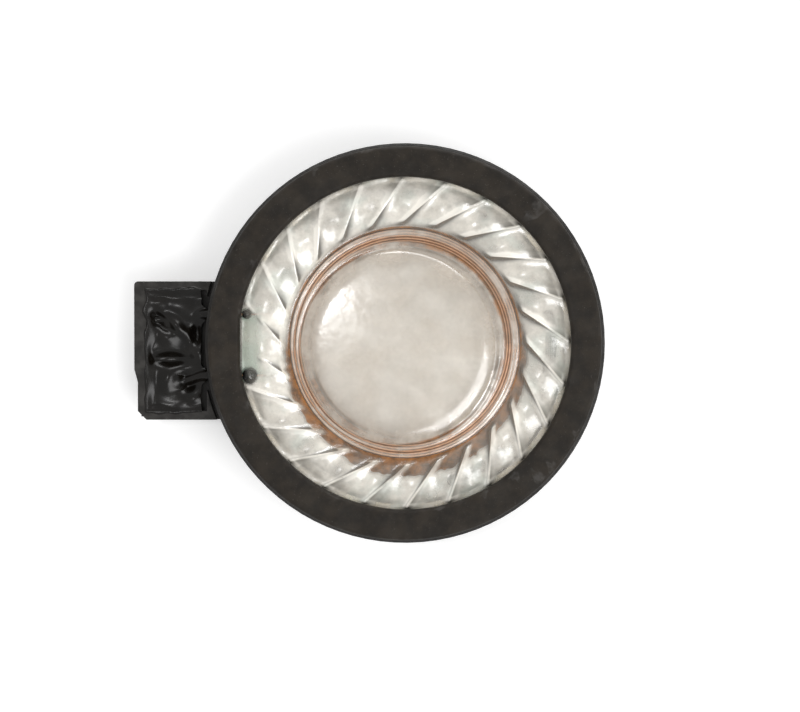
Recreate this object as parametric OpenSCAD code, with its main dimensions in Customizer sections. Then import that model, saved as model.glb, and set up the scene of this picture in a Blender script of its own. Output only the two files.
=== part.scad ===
// Round phone ringer speaker, lying on its back with the diaphragm up. Millimetres.
// The origin is the centre of the steel yoke's rear face, +Z points to the diaphragm
// and the terminal tab points along -X.

/* [Moulded frame] */
// Diameter of the rim that fits a phone's pocket
rim_d = 16; // [15.6:0.1:18]
// Distance that the rim stands out round the body behind it
rim_lip = 0.4; // [0.3:0.05:0.6]
// Height of the rim's outer band
rim_h = 0.75; // [0.7:0.05:0.9]
// Wall of the rim around the film ring's recess
rim_wall = 0.5; // [0.35:0.05:0.7]
// Width of the film ring's seat inside that wall
seat_w = 1.09; // [1:0.01:1.15]
// Distance that the yoke stands out behind the frame
frame_rear_z = 0.9; // [0.7:0.05:1]
// Height of the air space between the yoke's flange and the film ring's seat
cavity_h = 0.35; // [0.3:0.05:0.6]
// Chamfer on the rim's two outer edges
rim_edge = 0.1; // [0.05:0.01:0.15]
// Chamfer on the body's rear edge
body_edge = 0.2; // [0.1:0.05:0.3]

/* [Vents] */
// Number of vents through the flange and the frame's floor
vent_count = 5; // [3:1:5]
// Angle from one vent to the next
vent_pitch = 60; // [50:1:66]
// Angle that one vent covers between its round ends
vent_span = 22; // [12:1:30]
// Width of a vent
vent_w = 0.44; // [0.3:0.02:0.5]
// Thickness of the woven screen over the vents
screen_t = 0.1; // [0.06:0.01:0.15]

/* [Magnet system] */
// Thickness of the magnet
magnet_t = 1.2; // [1:0.05:1.5]
// Thickness of the top plate
plate_t = 0.5; // [0.4:0.05:0.6]
// Distance that the top plate stands out round the magnet
plate_lip = 0.15; // [0.05:0.01:0.2]
// Thickness of the yoke's base
yoke_t = 0.6; // [0.4:0.05:0.8]
// Thickness of the yoke's wall
yoke_wall = 0.5; // [0.35:0.05:0.55]
// Width of the yoke's flange outside its wall
flange_w = 1; // [0.9:0.05:1.1]
// Thickness of the yoke's flange
flange_t = 0.25; // [0.2:0.05:0.35]

/* [Voice coil] */
// Air gap between the top plate and the coil
gap_in = 0.2; // [0.12:0.01:0.24]
// Air gap between the coil and the yoke's wall
gap_out = 0.28; // [0.2:0.01:0.32]
// Radial thickness of the winding
coil_w = 0.55; // [0.4:0.05:0.6]
// Height of the winding
coil_h = 1.4; // [1.1:0.05:1.5]
// Height of the winding's top above the top plate
coil_rise = 0.55; // [0.5:0.05:0.65]
// Mean width of the glue fillet under the film
bond_w = 0.26; // [0.24:0.01:0.3]
// Distance that the glue has crept to one side
bond_creep = 0.2; // [0:0.01:0.22]
// Direction in which it has crept
bond_turn = -62; // [-180:1:180]
// Height of the glue fillet
bond_h = 0.22; // [0.15:0.01:0.25]

/* [Diaphragm film] */
// Thickness of the film
film_t = 0.05; // [0.04:0.005:0.08]
// Height of the dome's top above its bonding groove
dome_h = 0.4; // [0.3:0.05:0.5]
// Width of the dome's rounded shoulder
shoulder_w = 0.7; // [0.4:0.05:1]
// Height of the centre of the dome above its shoulder
crown_h = 0.08; // [0.04:0.01:0.12]
// Height of the surround's arch
arch_h = 0.3; // [0.2:0.02:0.36]
// Number of spiral ribs in the surround
rib_count = 24; // [18:1:30]
// Height of a rib
rib_h = 0.12; // [0.06:0.01:0.14]
// Angle between a rib and the radius at the coil's edge
rib_angle = 53; // [35:1:60]
// Direction of the first rib's touching point
rib_turn = 11.6; // [0:0.1:15]

/* [Film ring] */
// Radial width of the ring that carries the film
ring_w = 1.02; // [0.8:0.02:1.1]
// Thickness of the ring
ring_t = 0.35; // [0.25:0.05:0.5]
// Upper end of the ring's gap for the leads
ring_gap_hi = 1.6; // [1.5:0.05:2]
// Lower end of the ring's gap for the leads
ring_gap_lo = -1.75; // [-2.1:0.05:-1.7]

/* [Front gasket] */
// Radial width of the gasket
gasket_w = 1.215; // [1:0.005:1.24]
// Thickness of the gasket
gasket_t = 0.5; // [0.4:0.05:0.7]
// Distance from the rim's edge to the gasket
gasket_inset = 0.15; // [0.1:0.01:0.3]
// Rounding of the gasket's front edges
gasket_round = 0.16; // [0.1:0.01:0.22]
// Depth of the gasket's straight inner edge over the leads
gasket_flat = 0.065; // [0.03:0.005:0.12]
// Thickness of the adhesive tape under the gasket
tape_t = 0.05; // [0.03:0.01:0.1]
// Distance from the gasket's edges to the tape
tape_inset = 0.09; // [0.05:0.01:0.2]

/* [Terminal tab] */
// Length of the tab outside the rim
tab_reach = 2.94; // [2.8:0.02:3.4]
// Width of the tab
tab_w = 5.59; // [5.4:0.01:6.2]
// Distance from the speaker's middle to the tab's middle
tab_y = -0.3; // [-0.4:0.05:-0.1]
// Height of the tab
tab_h = 1.4; // [1.3:0.05:1.5]
// Thickness of the tab's side walls
tab_wall = 0.35; // [0.25:0.05:0.4]
// Thickness of the tab's floor
tab_floor = 0.4; // [0.3:0.05:0.5]
// Set-back of the lower half of the tab's end
tab_step = 0.14; // [0.05:0.01:0.2]
// Width of the relief groove between the tab and the rim
groove_w = 0.22; // [0.12:0.02:0.3]
// Depth of the relief groove
groove_depth = 0.4; // [0.3:0.02:0.44]
// Thickness of the terminal board
board_t = 0.5; // [0.4:0.05:0.6]

/* [Terminals] */
// Distance between the two contacts
contact_pitch = 2.5; // [2.4:0.05:2.7]
// Distance from the tab's end to the contacts
contact_inset = 1.54; // [1.45:0.01:1.6]
// Length of a rear contact pad along the tab
pad_l = 1.1; // [0.8:0.05:1.2]
// Width of a rear contact pad
pad_w = 1.5; // [1.2:0.05:1.6]
// Thickness of a contact pad
pad_t = 0.06; // [0.04:0.01:0.1]
// Diameter of the plated hole's barrel
barrel_d = 0.5; // [0.3:0.05:0.6]
// Diameter of a front solder pad
solder_pad_d = 1.1; // [1:0.05:1.2]
// Height of a solder joint
solder_h = 0.36; // [0.3:0.02:0.4]

/* [Leads] */
// Diameter of a lead wire
wire_d = 0.1; // [0.08:0.01:0.12]
// Place of the upper lead across the frame
lead_hi = 1.17; // [1:0.01:1.2]
// Place of the lower lead across the frame
lead_lo = -1.3; // [-1.35:0.01:-1.2]
// Width of a lead's channel through the rim
channel_w = 0.4; // [0.3:0.02:0.46]
// Depth of the lead pocket beyond the flange
pocket_depth = 0.22; // [0.2:0.01:0.3]
// Thickness of the insulating pad under the leads
lead_pad_t = 0.08; // [0.05:0.01:0.1]
// Length of the insulating pad from the pocket's wall
lead_pad_l = 1; // [0.8:0.05:1.1]

/* [Fits] */
// Assembly clearance round fixed pieces
fit = 0.03; // [0.02:0.005:0.05]
// Clearance of glue and solder round a wire
wire_gap = 0.012; // [0.01:0.001:0.02]
// Gap between the moving and the fixed part of the film
film_seam = 0.02; // [0.015:0.005:0.04]

/* [Hidden] */

round_fn = 120;
hull_fn = 24;
cut = 0.5;

film_inset = 0.15;
screen_margin = 0.28;
yoke_edge = 0.18;
tab_root = 0.3;
tab_corner = 0.16;
tab_chamfer = 0.35;
step_from = 2.04;
step_to = 1.52;
tray_corner = 0.15;
board_setback = 0.32;
window_margin = 0.1;
pad_corner = 0.12;
solder_margin = 0.08;
lead_pad_margin = 0.27;
key_gap = 0.05;
lip_w = 0.06;
dome_foot_inset = 0.07;
rib_margin = 0.035;
rib_fade = 0.16;
rib_rise = 0.4;
rib_steps = 6;
arch_steps = 7;

rim_r = rim_d / 2;
body_r = rim_r - rim_lip;
recess_r = rim_r - rim_wall;
cavity_r = recess_r - seat_w;
flange_r = cavity_r - fit;
yoke_ro = flange_r - flange_w;
yoke_ri = yoke_ro - yoke_wall;
coil_ro = yoke_ri - gap_out;
coil_ri = coil_ro - coil_w;
plate_r = coil_ri - gap_in;
magnet_r = plate_r - plate_lip;
ring_ro = recess_r - fit;
ring_ri = ring_ro - ring_w;
film_r = recess_r - film_inset;
gasket_ro = rim_r - gasket_inset;
gasket_ri = gasket_ro - gasket_w;

magnet_z = yoke_t;
plate_z = magnet_z + magnet_t;
flange_top = plate_z + plate_t;
flange_z = flange_top - flange_t;
coil_top = flange_top + coil_rise;
seat_z = flange_top + cavity_h;
ring_top = seat_z + ring_t;
rim_top = ring_top + film_t;
rim_z = rim_top - rim_h;
gasket_z = rim_top + tape_t;
screen_top = frame_rear_z + screen_t;

vent_r = yoke_ro + flange_w / 2;
vent_start = -vent_pitch * (vent_count - 1) / 2;
screen_ri = yoke_ro + 2 * fit;
screen_ro = vent_r + vent_w / 2 + screen_margin;

tab_end = rim_r + tab_reach;
tab_hi = tab_y + tab_w / 2;
tab_lo = tab_y - tab_w / 2;
tab_top = frame_rear_z + tab_h;
step_hi = tab_lo + step_from;
step_lo = tab_lo + step_to;
groove_z = tab_top - groove_depth;
tray_end = tab_end - tab_wall - tab_step;
tray_hi = tab_hi - tab_wall;
tray_lo = tab_lo + tab_wall;
board_z = frame_rear_z + tab_floor;
board_top = board_z + board_t;
board_start = rim_r + board_setback;
contact_x = tab_end - contact_inset;
contact_hi = tab_y + contact_pitch / 2;
contact_lo = tab_y - contact_pitch / 2;
front_pad_top = board_top + pad_t;
solder_r = solder_pad_d / 2 - solder_margin;

pocket_x = flange_r + pocket_depth;
key_r = recess_r + cut / 2;
channel_z = (flange_top + seat_z) / 2;
lead_pad_top = flange_top + lead_pad_t;
bead_hi_r = 0.21;
bead_hi_h = 0.34;
bead_lo_r = 0.33;
bead_lo_h = 0.4;
bead_wall_gap = 0.03;
pool_h = 0.16;
pool_gap = 0.5;
pool_shift = 0.45;
lump_r = 0.62;
lump_far = [0.48, 0.4, 0.06];
lump_near = [0.2, 0.28, 0.1];
neck_r = 0.34;
neck_reach = 0.7;
neck_drop = 0.28;
tongue_r = 0.3;
tip_r = 0.15;
tip_gap = 0.16;
tip_rise = 0.04;

wire_r = wire_d / 2;
wire_sides = 8;
wire_steps = 16;
lead_start_gap = 0.02;
lead_out_z = coil_top - 0.15;
lead_level_x = coil_ro + 0.25;
lead_down_x = pocket_x - 0.3;
lead_bend_x = rim_r + 0.12;
joint_x = contact_x - solder_r / 2;
joint_z = front_pad_top + solder_h / 2;

foot_r = coil_ro + lip_w;
rib_circle_r = coil_ro * sin(rib_angle);
rib_start = foot_r + 0.15;
rib_end = gasket_ri - rib_margin;
calm_x = pocket_x - lead_pad_l;
calm_y = (lead_hi + lead_lo) / 2;
calm_half = (lead_hi - lead_lo) / 2;
calm_fade = 0.4;

// Points of an arc round a centre, in equal steps
function arc(c, r, from, to, steps = 8) =
    [for (i = [0 : steps]) let (a = from + (to - from) * i / steps) c + r * [cos(a), sin(a)]];

// Smooth step from 0 at one length to 1 at another
function ramp(x, from, to) =
    let (u = min(1, max(0, (x - from) / (to - from)))) u * u * (3 - 2 * u);

// Outline of a rectangle with round corners
function round_rect(x0, y0, x1, y1, r) = concat(
    arc([x1 - r, y1 - r], r, 0, 90), arc([x0 + r, y1 - r], r, 90, 180),
    arc([x0 + r, y0 + r], r, 180, 270), arc([x1 - r, y0 + r], r, 270, 360));

// Slot along an arc, with round ends
module arc_slot(r, w, span, z0, z1) {
    translate([0, 0, z0]) {
        rotate([0, 0, -span / 2])
            rotate_extrude(angle = span, $fn = round_fn)
                translate([r - w / 2, 0])
                    square([w, z1 - z0]);
        for (side = [-1, 1])
            rotate([0, 0, side * span / 2])
                translate([r, 0, 0])
                    cylinder(d = w, h = z1 - z0, $fn = round_fn / 2);
    }
}

// The vents, all but the one place behind the leads
module vents(z0, z1) {
    for (i = [0 : vent_count - 1])
        rotate([0, 0, vent_start + i * vent_pitch])
            arc_slot(vent_r, vent_w, vent_span, z0, z1);
}

// Plain ring
module ring(ri, ro, z0, z1) {
    translate([0, 0, z0])
        difference() {
            cylinder(r = ro, h = z1 - z0, $fn = round_fn);
            translate([0, 0, -cut])
                cylinder(r = ri, h = z1 - z0 + 2 * cut, $fn = round_fn);
        }
}

// Block between two corners
module block(x0, x1, y0, y1, z0, z1) {
    translate([x0, y0, z0])
        cube([x1 - x0, y1 - y0, z1 - z0]);
}

// Outline of the tab: its end steps back in the lower half, whose corner is chamfered
module tab_outline() {
    step_x = -tab_end + tab_step;
    polygon(concat(
        [[-cavity_r - tab_root, tab_lo], [-cavity_r - tab_root, tab_hi]],
        arc([-tab_end + tab_corner, tab_hi - tab_corner], tab_corner, 90, 180),
        [[-tab_end, step_hi], [step_x, step_lo],
         [step_x, tab_lo + tab_chamfer], [step_x + tab_chamfer, tab_lo]]));
}

// Terminal tab: a tray with a window under each contact, apart from the rim by a groove
module tab() {
    difference() {
        translate([0, 0, frame_rear_z])
            linear_extrude(height = tab_h)
                tab_outline();
        translate([0, 0, groove_z])
            cylinder(r = rim_r + groove_w, h = tab_h, $fn = round_fn);
        translate([0, 0, board_z])
            linear_extrude(height = tab_h)
                polygon(round_rect(-tray_end, tray_lo, -board_start + fit, tray_hi, tray_corner));
        block(-board_start - tray_corner, -rim_r, tray_lo, tray_hi, groove_z, tab_top + cut);
        for (y = [contact_lo, contact_hi])
            block(-contact_x - pad_l / 2 - window_margin, -contact_x + pad_l / 2 + window_margin,
                  y - pad_w / 2 - window_margin, y + pad_w / 2 + window_margin,
                  frame_rear_z - cut, board_z + cut);
    }
}

// Moulded frame: body, rim, recess for the film ring, floor with vents, tab and lead channels
module frame() {
    color([0.15, 0.14, 0.13])
    difference() {
        union() {
            rotate_extrude($fn = round_fn)
                polygon([
                    [yoke_ro + fit, screen_top], [screen_ro + fit, screen_top],
                    [screen_ro + fit, frame_rear_z], [body_r - body_edge, frame_rear_z],
                    [body_r, frame_rear_z + body_edge], [body_r, rim_z],
                    [rim_r - rim_edge, rim_z], [rim_r, rim_z + rim_edge],
                    [rim_r, rim_top - rim_edge], [rim_r - rim_edge, rim_top],
                    [recess_r, rim_top], [recess_r, seat_z], [cavity_r, seat_z],
                    [cavity_r, flange_z], [yoke_ro + fit, flange_z]]);
            tab();
            intersection() {
                ring(cavity_r + fit, key_r, seat_z - cut, ring_top);
                block(-rim_r, -pocket_x, ring_gap_lo + key_gap, ring_gap_hi - key_gap,
                      seat_z - cut, ring_top);
            }
        }
        vents(frame_rear_z - cut, flange_z + cut);
        block(-pocket_x, -cavity_r + cut, ring_gap_lo, ring_gap_hi, flange_top, ring_top + cut);
        for (y = [lead_lo, lead_hi])
            block(-rim_r - cut, -pocket_x + cut, y - channel_w / 2, y + channel_w / 2,
                  flange_top, seat_z);
    }
}

// Drawn steel yoke: the cup round the magnet, with a vented flange on the frame's floor
module yoke() {
    color([0.78, 0.77, 0.73])
    difference() {
        rotate_extrude($fn = round_fn)
            polygon(concat(
                [[0, 0]],
                arc([yoke_ro - yoke_edge, yoke_edge], yoke_edge, -90, 0),
                [[yoke_ro, flange_z], [flange_r, flange_z], [flange_r, flange_top]],
                arc([yoke_ri + yoke_edge / 2, flange_top - yoke_edge / 2], yoke_edge / 2, 90, 180, 4),
                [[yoke_ri, yoke_t], [0, yoke_t]]));
        vents(flange_z - cut, flange_top + cut);
    }
}

// Disc magnet with a small chamfer on both edges
module magnet() {
    edge = 0.08;
    color([0.62, 0.62, 0.62])
    translate([0, 0, magnet_z])
        rotate_extrude($fn = round_fn)
            polygon([[0, 0], [magnet_r - edge, 0], [magnet_r, edge], [magnet_r, magnet_t - edge],
                     [magnet_r - edge, magnet_t], [0, magnet_t]]);
}

// Stamped steel plate on the magnet, its front edge rounded by the press
module top_plate() {
    edge = 0.1;
    color([0.8, 0.79, 0.75])
    translate([0, 0, plate_z])
        rotate_extrude($fn = round_fn)
            polygon(concat(
                [[0, 0], [plate_r, 0]],
                arc([plate_r - edge, plate_t - edge], edge, 0, 90, 4),
                [[0, plate_t]]));
}

// Wound and bonded voice coil, a plain ring with eased edges
module voice_coil() {
    edge = 0.04;
    z0 = coil_top - coil_h;
    color([0.72, 0.42, 0.27])
    rotate_extrude($fn = round_fn)
        polygon([[coil_ri + edge, z0], [coil_ro - edge, z0], [coil_ro, z0 + edge],
                 [coil_ro, coil_top - edge], [coil_ro - edge, coil_top],
                 [coil_ri + edge, coil_top], [coil_ri, coil_top - edge], [coil_ri, z0 + edge]]);
}

// Glue fillet between the coil's wall and the film, wider on the side to which it has crept
// and open where the leads come out
module coil_bond() {
    in_r = coil_ro + wire_gap;
    out_r = in_r + bond_w;
    color([0.75, 0.5, 0.3])
    difference() {
        rotate([0, 0, bond_turn])
            translate([bond_creep, 0, 0])
                rotate_extrude($fn = round_fn)
                    polygon(concat(
                        [[0, coil_top], [0, coil_top - bond_h]],
                        [for (i = [0 : 5]) let (a = 15 * i)
                            [out_r - bond_w * cos(a), coil_top - bond_h * (1 - sin(a))]],
                        [[out_r, coil_top]]));
        cylinder(r = in_r, h = coil_top + cut, $fn = round_fn);
        for (y = [lead_lo, lead_hi])
            block(-yoke_ro, -coil_ri, y - wire_r - wire_gap, y + wire_r + wire_gap,
                  coil_top - bond_h - cut, lead_out_z + wire_r + wire_gap);
    }
}

// Half outline of the dome's rear face, moved out by a thickness for its front face
function dome_line(grow) =
    let (foot = coil_ri - dome_foot_inset, top_r = foot - shoulder_w, rise = dome_h - crown_h)
    concat(
        [for (i = [0 : 6]) let (u = i / 6)
            [top_r * u, coil_top + grow + dome_h - crown_h * u * u]],
        [for (i = [1 : 8]) let (a = 90 * i / 8)
            [top_r + (shoulder_w + grow) * sin(a),
             coil_top + grow + rise * cos(a)]]);

// Dome of the film with the groove that is glued on the coil
module film_dome() {
    rear = dome_line(0);
    front = dome_line(film_t);
    color([0.9, 0.89, 0.85])
    rotate_extrude($fn = round_fn)
        polygon(concat(
            rear,
            [[coil_ro - film_seam, coil_top], [coil_ro - film_seam, coil_top + film_t]],
            [for (i = [len(front) - 1 : -1 : 0]) front[i]]));
}

// Height of the surround's rear face without its ribs
function surround_z(r) =
    let (t = min(1, max(0, (r - foot_r) / (ring_ri - foot_r))))
    coil_top + (ring_top - coil_top) * t + arch_h * sin(180 * t);

// Height of a rib: full between the surround's edges, none on the flat over the leads
function rib_z(r, x, y, turn) =
    let (off = abs(2 * (turn - floor(turn)) - 1),
         calm = ramp(-x, calm_x, calm_x + calm_fade)
              * (1 - ramp(abs(y - calm_y), calm_half - calm_fade / 2, calm_half + calm_fade / 2)))
    rib_h * off * off * ramp(r, rib_start, rib_start + rib_rise)
    * (1 - ramp(r, rib_end - rib_fade, rib_end)) * (1 - calm);

// Surround of the film: an arch with spiral ribs, each on a line that touches one circle
module film_surround() {
    columns = rib_count * rib_steps;
    radii = concat([coil_ro],
                   [for (i = [0 : arch_steps]) foot_r + (ring_ri - foot_r) * i / arch_steps],
                   [rib_end - rib_fade / 2, rib_end, film_r]);
    rows = len(radii);
    rear = [for (r = radii) for (j = [0 : columns - 1])
        let (a = rib_turn + 360 * j / columns - acos(rib_circle_r / r),
             x = r * cos(a), y = r * sin(a))
        [x, y, surround_z(r) + rib_z(r, x, y, j / rib_steps)]];
    front = [for (p = rear) p + [0, 0, film_t]];
    function at(side, i, j) = (side * rows + i) * columns + j % columns;
    faces = concat(
        [for (i = [0 : rows - 2]) for (j = [0 : columns - 1]) each [
            [at(1, i, j), at(1, i, j + 1), at(1, i + 1, j + 1)],
            [at(1, i, j), at(1, i + 1, j + 1), at(1, i + 1, j)],
            [at(0, i, j), at(0, i + 1, j + 1), at(0, i, j + 1)],
            [at(0, i, j), at(0, i + 1, j), at(0, i + 1, j + 1)]]],
        [for (j = [0 : columns - 1]) let (k = rows - 1) each [
            [at(1, 0, j + 1), at(1, 0, j), at(0, 0, j)],
            [at(1, 0, j + 1), at(0, 0, j), at(0, 0, j + 1)],
            [at(1, k, j), at(1, k, j + 1), at(0, k, j + 1)],
            [at(1, k, j), at(0, k, j + 1), at(0, k, j)]]]);
    color([0.86, 0.85, 0.8])
    polyhedron(points = concat(rear, front), faces = faces, convexity = 10);
}

// Brass ring that holds the film's edge flat, open over the leads
module film_ring() {
    color([0.8, 0.72, 0.55])
    difference() {
        ring(ring_ri, ring_ro, seat_z, ring_top);
        block(-rim_r, 0, ring_gap_lo, ring_gap_hi, seat_z - cut, ring_top + cut);
    }
}

// Adhesive tape between the rim and the gasket
module gasket_tape() {
    color([0.85, 0.83, 0.75])
    ring(gasket_ri + tape_inset, gasket_ro - tape_inset, rim_top, gasket_z);
}

// Rubber gasket that seals against the phone's case, with a straight inner edge over the leads
module front_gasket() {
    top = gasket_z + gasket_t;
    color([0.2, 0.18, 0.16])
    union() {
        rotate_extrude($fn = round_fn)
            polygon(concat(
                [[gasket_ri, gasket_z], [gasket_ro, gasket_z]],
                arc([gasket_ro - gasket_round, top - gasket_round], gasket_round, 0, 90),
                arc([gasket_ri + gasket_round, top - gasket_round], gasket_round, 90, 180)));
        intersection() {
            translate([0, 0, gasket_z])
                cylinder(r = gasket_ri + gasket_round, h = gasket_t - gasket_round, $fn = round_fn);
            block(-gasket_ro, -gasket_ri + gasket_flat, -gasket_ri, gasket_ri,
                  gasket_z, gasket_z + gasket_t);
        }
    }
}

// Woven screen bonded over the vents at the rear
module vent_screen() {
    color([0.8, 0.8, 0.78])
    ring(screen_ri, screen_ro, frame_rear_z, screen_top);
}

// Printed board in the tab's tray, with a plated hole for each contact
module terminal_board() {
    color([0.2, 0.35, 0.25])
    difference() {
        translate([0, 0, board_z])
            linear_extrude(height = board_t)
                polygon(round_rect(-tray_end + fit, tray_lo + fit, -board_start, tray_hi - fit,
                                   tray_corner));
        for (y = [contact_lo, contact_hi])
            translate([-contact_x, y, board_z - cut])
                cylinder(d = barrel_d + 2 * fit, h = board_t + 2 * cut, $fn = round_fn / 2);
    }
}

// Copper contact: the rear pad, the barrel through the board and the front solder pad
module contact(y) {
    color([0.83, 0.66, 0.32])
    translate([-contact_x, y, board_z])
        union() {
            translate([0, 0, -pad_t])
                linear_extrude(height = pad_t)
                    polygon(round_rect(-pad_l / 2, -pad_w / 2, pad_l / 2, pad_w / 2, pad_corner));
            translate([0, 0, -pad_t / 2])
                cylinder(d = barrel_d, h = board_t + pad_t, $fn = round_fn / 2);
            translate([0, 0, board_t])
                cylinder(d = solder_pad_d, h = pad_t, $fn = round_fn);
        }
}

// Cap of solder on a front pad, made larger all round where glue has to clear it
module solder_cap(y, grow) {
    r = solder_r + grow;
    h = solder_h + grow;
    ball = (r * r + h * h) / (2 * h);
    intersection() {
        translate([-contact_x, y, front_pad_top + h - ball])
            sphere(r = ball, $fn = round_fn);
        translate([-contact_x, y, front_pad_top])
            cylinder(r = r, h = h + cut, $fn = round_fn);
    }
}

// Solder joint with the end of its lead in it
module solder(y, lead_y) {
    color([0.75, 0.75, 0.76])
    difference() {
        solder_cap(y, 0);
        lead(lead_y, y, wire_r + wire_gap, solder_r);
    }
}

// Route of a lead: out of the coil, down into its channel, through the rim to its contact
function lead_point(x, lead_y, y) = [
    -x,
    lead_y + (y - lead_y) * ramp(x, lead_bend_x, joint_x),
    lead_out_z + (channel_z - lead_out_z) * ramp(x, lead_level_x, lead_down_x)
        + (joint_z - channel_z) * ramp(x, body_r, joint_x)];

// Wire along a lead's route, or the space that it needs when its radius is larger
module lead(lead_y, y, r, past = 0) {
    start = sqrt(coil_ro * coil_ro - pow(abs(lead_y) - wire_r, 2)) + lead_start_gap;
    points = [for (k = [0 : wire_steps]) for (s = [0 : wire_sides - 1])
        let (x = start + (joint_x + past - start) * k / wire_steps, a = 360 * (s + 0.5) / wire_sides)
        lead_point(x, lead_y, y) + r * [0, cos(a), sin(a)]];
    function at(k, s) = k * wire_sides + s % wire_sides;
    faces = concat(
        [for (k = [0 : wire_steps - 1]) for (s = [0 : wire_sides - 1]) each [
            [at(k, s), at(k, s + 1), at(k + 1, s + 1)],
            [at(k, s), at(k + 1, s + 1), at(k + 1, s)]]],
        [for (s = [1 : wire_sides - 2]) [at(0, 0), at(0, s + 1), at(0, s)]],
        [for (s = [1 : wire_sides - 2])
            [at(wire_steps, 0), at(wire_steps, s), at(wire_steps, s + 1)]]);
    polyhedron(points = points, faces = faces, convexity = 4);
}

// Enamelled lead wire
module lead_wire(lead_y, y) {
    color([0.72, 0.42, 0.27])
    lead(lead_y, y, wire_r);
}

// Black potting over one solder joint: a pool on the board, a lump over the joint and
// a tongue over the lead up to the rim. The turn is 1 for the upper joint and -1 for the lower
module potting(y, lead_y, turn) {
    far = [-contact_x - lump_far.x, y + turn * lump_far.y, board_top + lump_far.z];
    near = [-contact_x + lump_near.x, y - turn * lump_near.y, board_top + lump_near.z];
    neck = [-contact_x + neck_reach, lead_y, channel_z - neck_drop];
    tip_x = rim_r + tip_gap;
    tip = [-tip_x, lead_y, lead_point(tip_x, lead_y, y).z + tip_rise];
    inner_y = tab_y - pool_shift + turn * pool_gap / 2;
    outer_y = turn > 0 ? tray_hi - fit : tray_lo + fit;
    color([0.1, 0.1, 0.1])
    difference() {
        intersection() {
            union() {
                block(-tray_end, -rim_r - groove_w, min(inner_y, outer_y), max(inner_y, outer_y),
                      0, board_top + pool_h);
                hull() {
                    for (place = [far, near])
                        translate(place)
                            sphere(r = lump_r, $fn = hull_fn);
                    translate(neck)
                        sphere(r = neck_r, $fn = hull_fn);
                }
                hull() {
                    translate(neck)
                        sphere(r = tongue_r, $fn = hull_fn);
                    translate(tip)
                        sphere(r = tip_r, $fn = hull_fn);
                }
            }
            block(-tray_end + fit, -rim_r, tray_lo + fit, tray_hi - fit, board_top, tab_top + 1);
        }
        block(-board_start, 0, tab_lo, tab_hi, 0, groove_z);
        cylinder(r = rim_r + fit, h = gasket_z, $fn = round_fn);
        translate([-contact_x, y, board_top - cut])
            cylinder(r = solder_pad_d / 2 + wire_gap, h = cut + pad_t, $fn = round_fn);
        solder_cap(y, wire_gap);
        lead(lead_y, y, wire_r + wire_gap);
    }
}

// Insulating pad that keeps the leads off the steel flange
module lead_pad() {
    color([0.78, 0.86, 0.78])
    translate([0, 0, flange_top])
        linear_extrude(height = lead_pad_t)
            polygon(round_rect(-pocket_x + fit, lead_lo - lead_pad_margin,
                               -calm_x, lead_hi + lead_pad_margin, pad_corner));
}

// Dot of black glue that holds a lead on the pad
module lead_bead(y, lead_y, r, h) {
    color([0.08, 0.08, 0.08])
    difference() {
        translate([-pocket_x + bead_wall_gap + r, lead_y, lead_pad_top])
            rotate_extrude($fn = round_fn / 2)
                polygon(concat([[0, 0]],
                               [for (i = [0 : 8]) let (a = 90 * i / 8) [r * cos(a), h * sin(a)]]));
        lead(lead_y, y, wire_r + wire_gap);
    }
}

frame();
yoke();
magnet();
top_plate();
voice_coil();
coil_bond();
film_dome();
film_surround();
film_ring();
gasket_tape();
front_gasket();
vent_screen();
terminal_board();
contact(contact_hi);  // contact_upper
contact(contact_lo);  // contact_lower
solder(contact_hi, lead_hi);  // solder_upper
solder(contact_lo, lead_lo);  // solder_lower
potting(contact_hi, lead_hi, 1);  // potting_upper
potting(contact_lo, lead_lo, -1);  // potting_lower
lead_pad();
lead_bead(contact_hi, lead_hi, bead_hi_r, bead_hi_h);  // lead_bead_upper
lead_bead(contact_lo, lead_lo, bead_lo_r, bead_lo_h);  // lead_bead_lower
lead_wire(lead_hi, contact_hi);  // lead_wire_upper
lead_wire(lead_lo, contact_lo);  // lead_wire_lower
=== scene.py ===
"""Looks of a round phone ringer speaker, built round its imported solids.

Lengths are in millimetres until a mesh is finished, and are then scaled to metres. The axes are
those of the solids: the origin is the middle of the steel yoke's rear face, +Z points to the film
and the terminal tab points along -X.
"""

import logging
import math
from collections.abc import Callable, Sequence
from dataclasses import dataclass, field
from enum import Enum

import bmesh
import bpy
from mathutils import Matrix, Vector, noise


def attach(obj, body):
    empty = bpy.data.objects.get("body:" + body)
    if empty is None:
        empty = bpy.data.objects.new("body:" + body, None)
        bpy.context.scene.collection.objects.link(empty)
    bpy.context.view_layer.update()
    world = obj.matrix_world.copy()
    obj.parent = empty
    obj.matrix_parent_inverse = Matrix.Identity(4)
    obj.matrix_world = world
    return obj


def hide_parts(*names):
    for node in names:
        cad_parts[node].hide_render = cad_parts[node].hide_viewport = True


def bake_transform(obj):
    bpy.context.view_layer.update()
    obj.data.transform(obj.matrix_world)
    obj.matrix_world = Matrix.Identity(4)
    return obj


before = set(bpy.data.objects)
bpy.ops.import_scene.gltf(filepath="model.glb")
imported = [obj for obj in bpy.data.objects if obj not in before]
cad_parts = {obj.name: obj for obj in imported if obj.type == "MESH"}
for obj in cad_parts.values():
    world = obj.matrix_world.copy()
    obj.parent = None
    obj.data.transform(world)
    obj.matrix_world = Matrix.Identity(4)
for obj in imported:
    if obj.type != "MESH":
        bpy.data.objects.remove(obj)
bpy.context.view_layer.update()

LOG = logging.getLogger("ringer_speaker")
MM = 0.001
MERGE = 0.0005
FLAT = math.radians(0.4)
SIDES = ("upper", "lower")
MILK_MAP = "milk"
# map of the rib flanks' steepness, which paints shade on them and hazes them
FLANK_MAP = "painted_flank_shade"
DOME_MAP = "dome"

Colour = tuple[float, float, float]
Point = tuple[float, float, float]
Outline = list[tuple[float, float]]
Socket = bpy.types.NodeSocket
Sockets = dict[str, Socket]
Labels = tuple[tuple[str, str], ...]
Given = bpy.types.NodeOutputs


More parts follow.
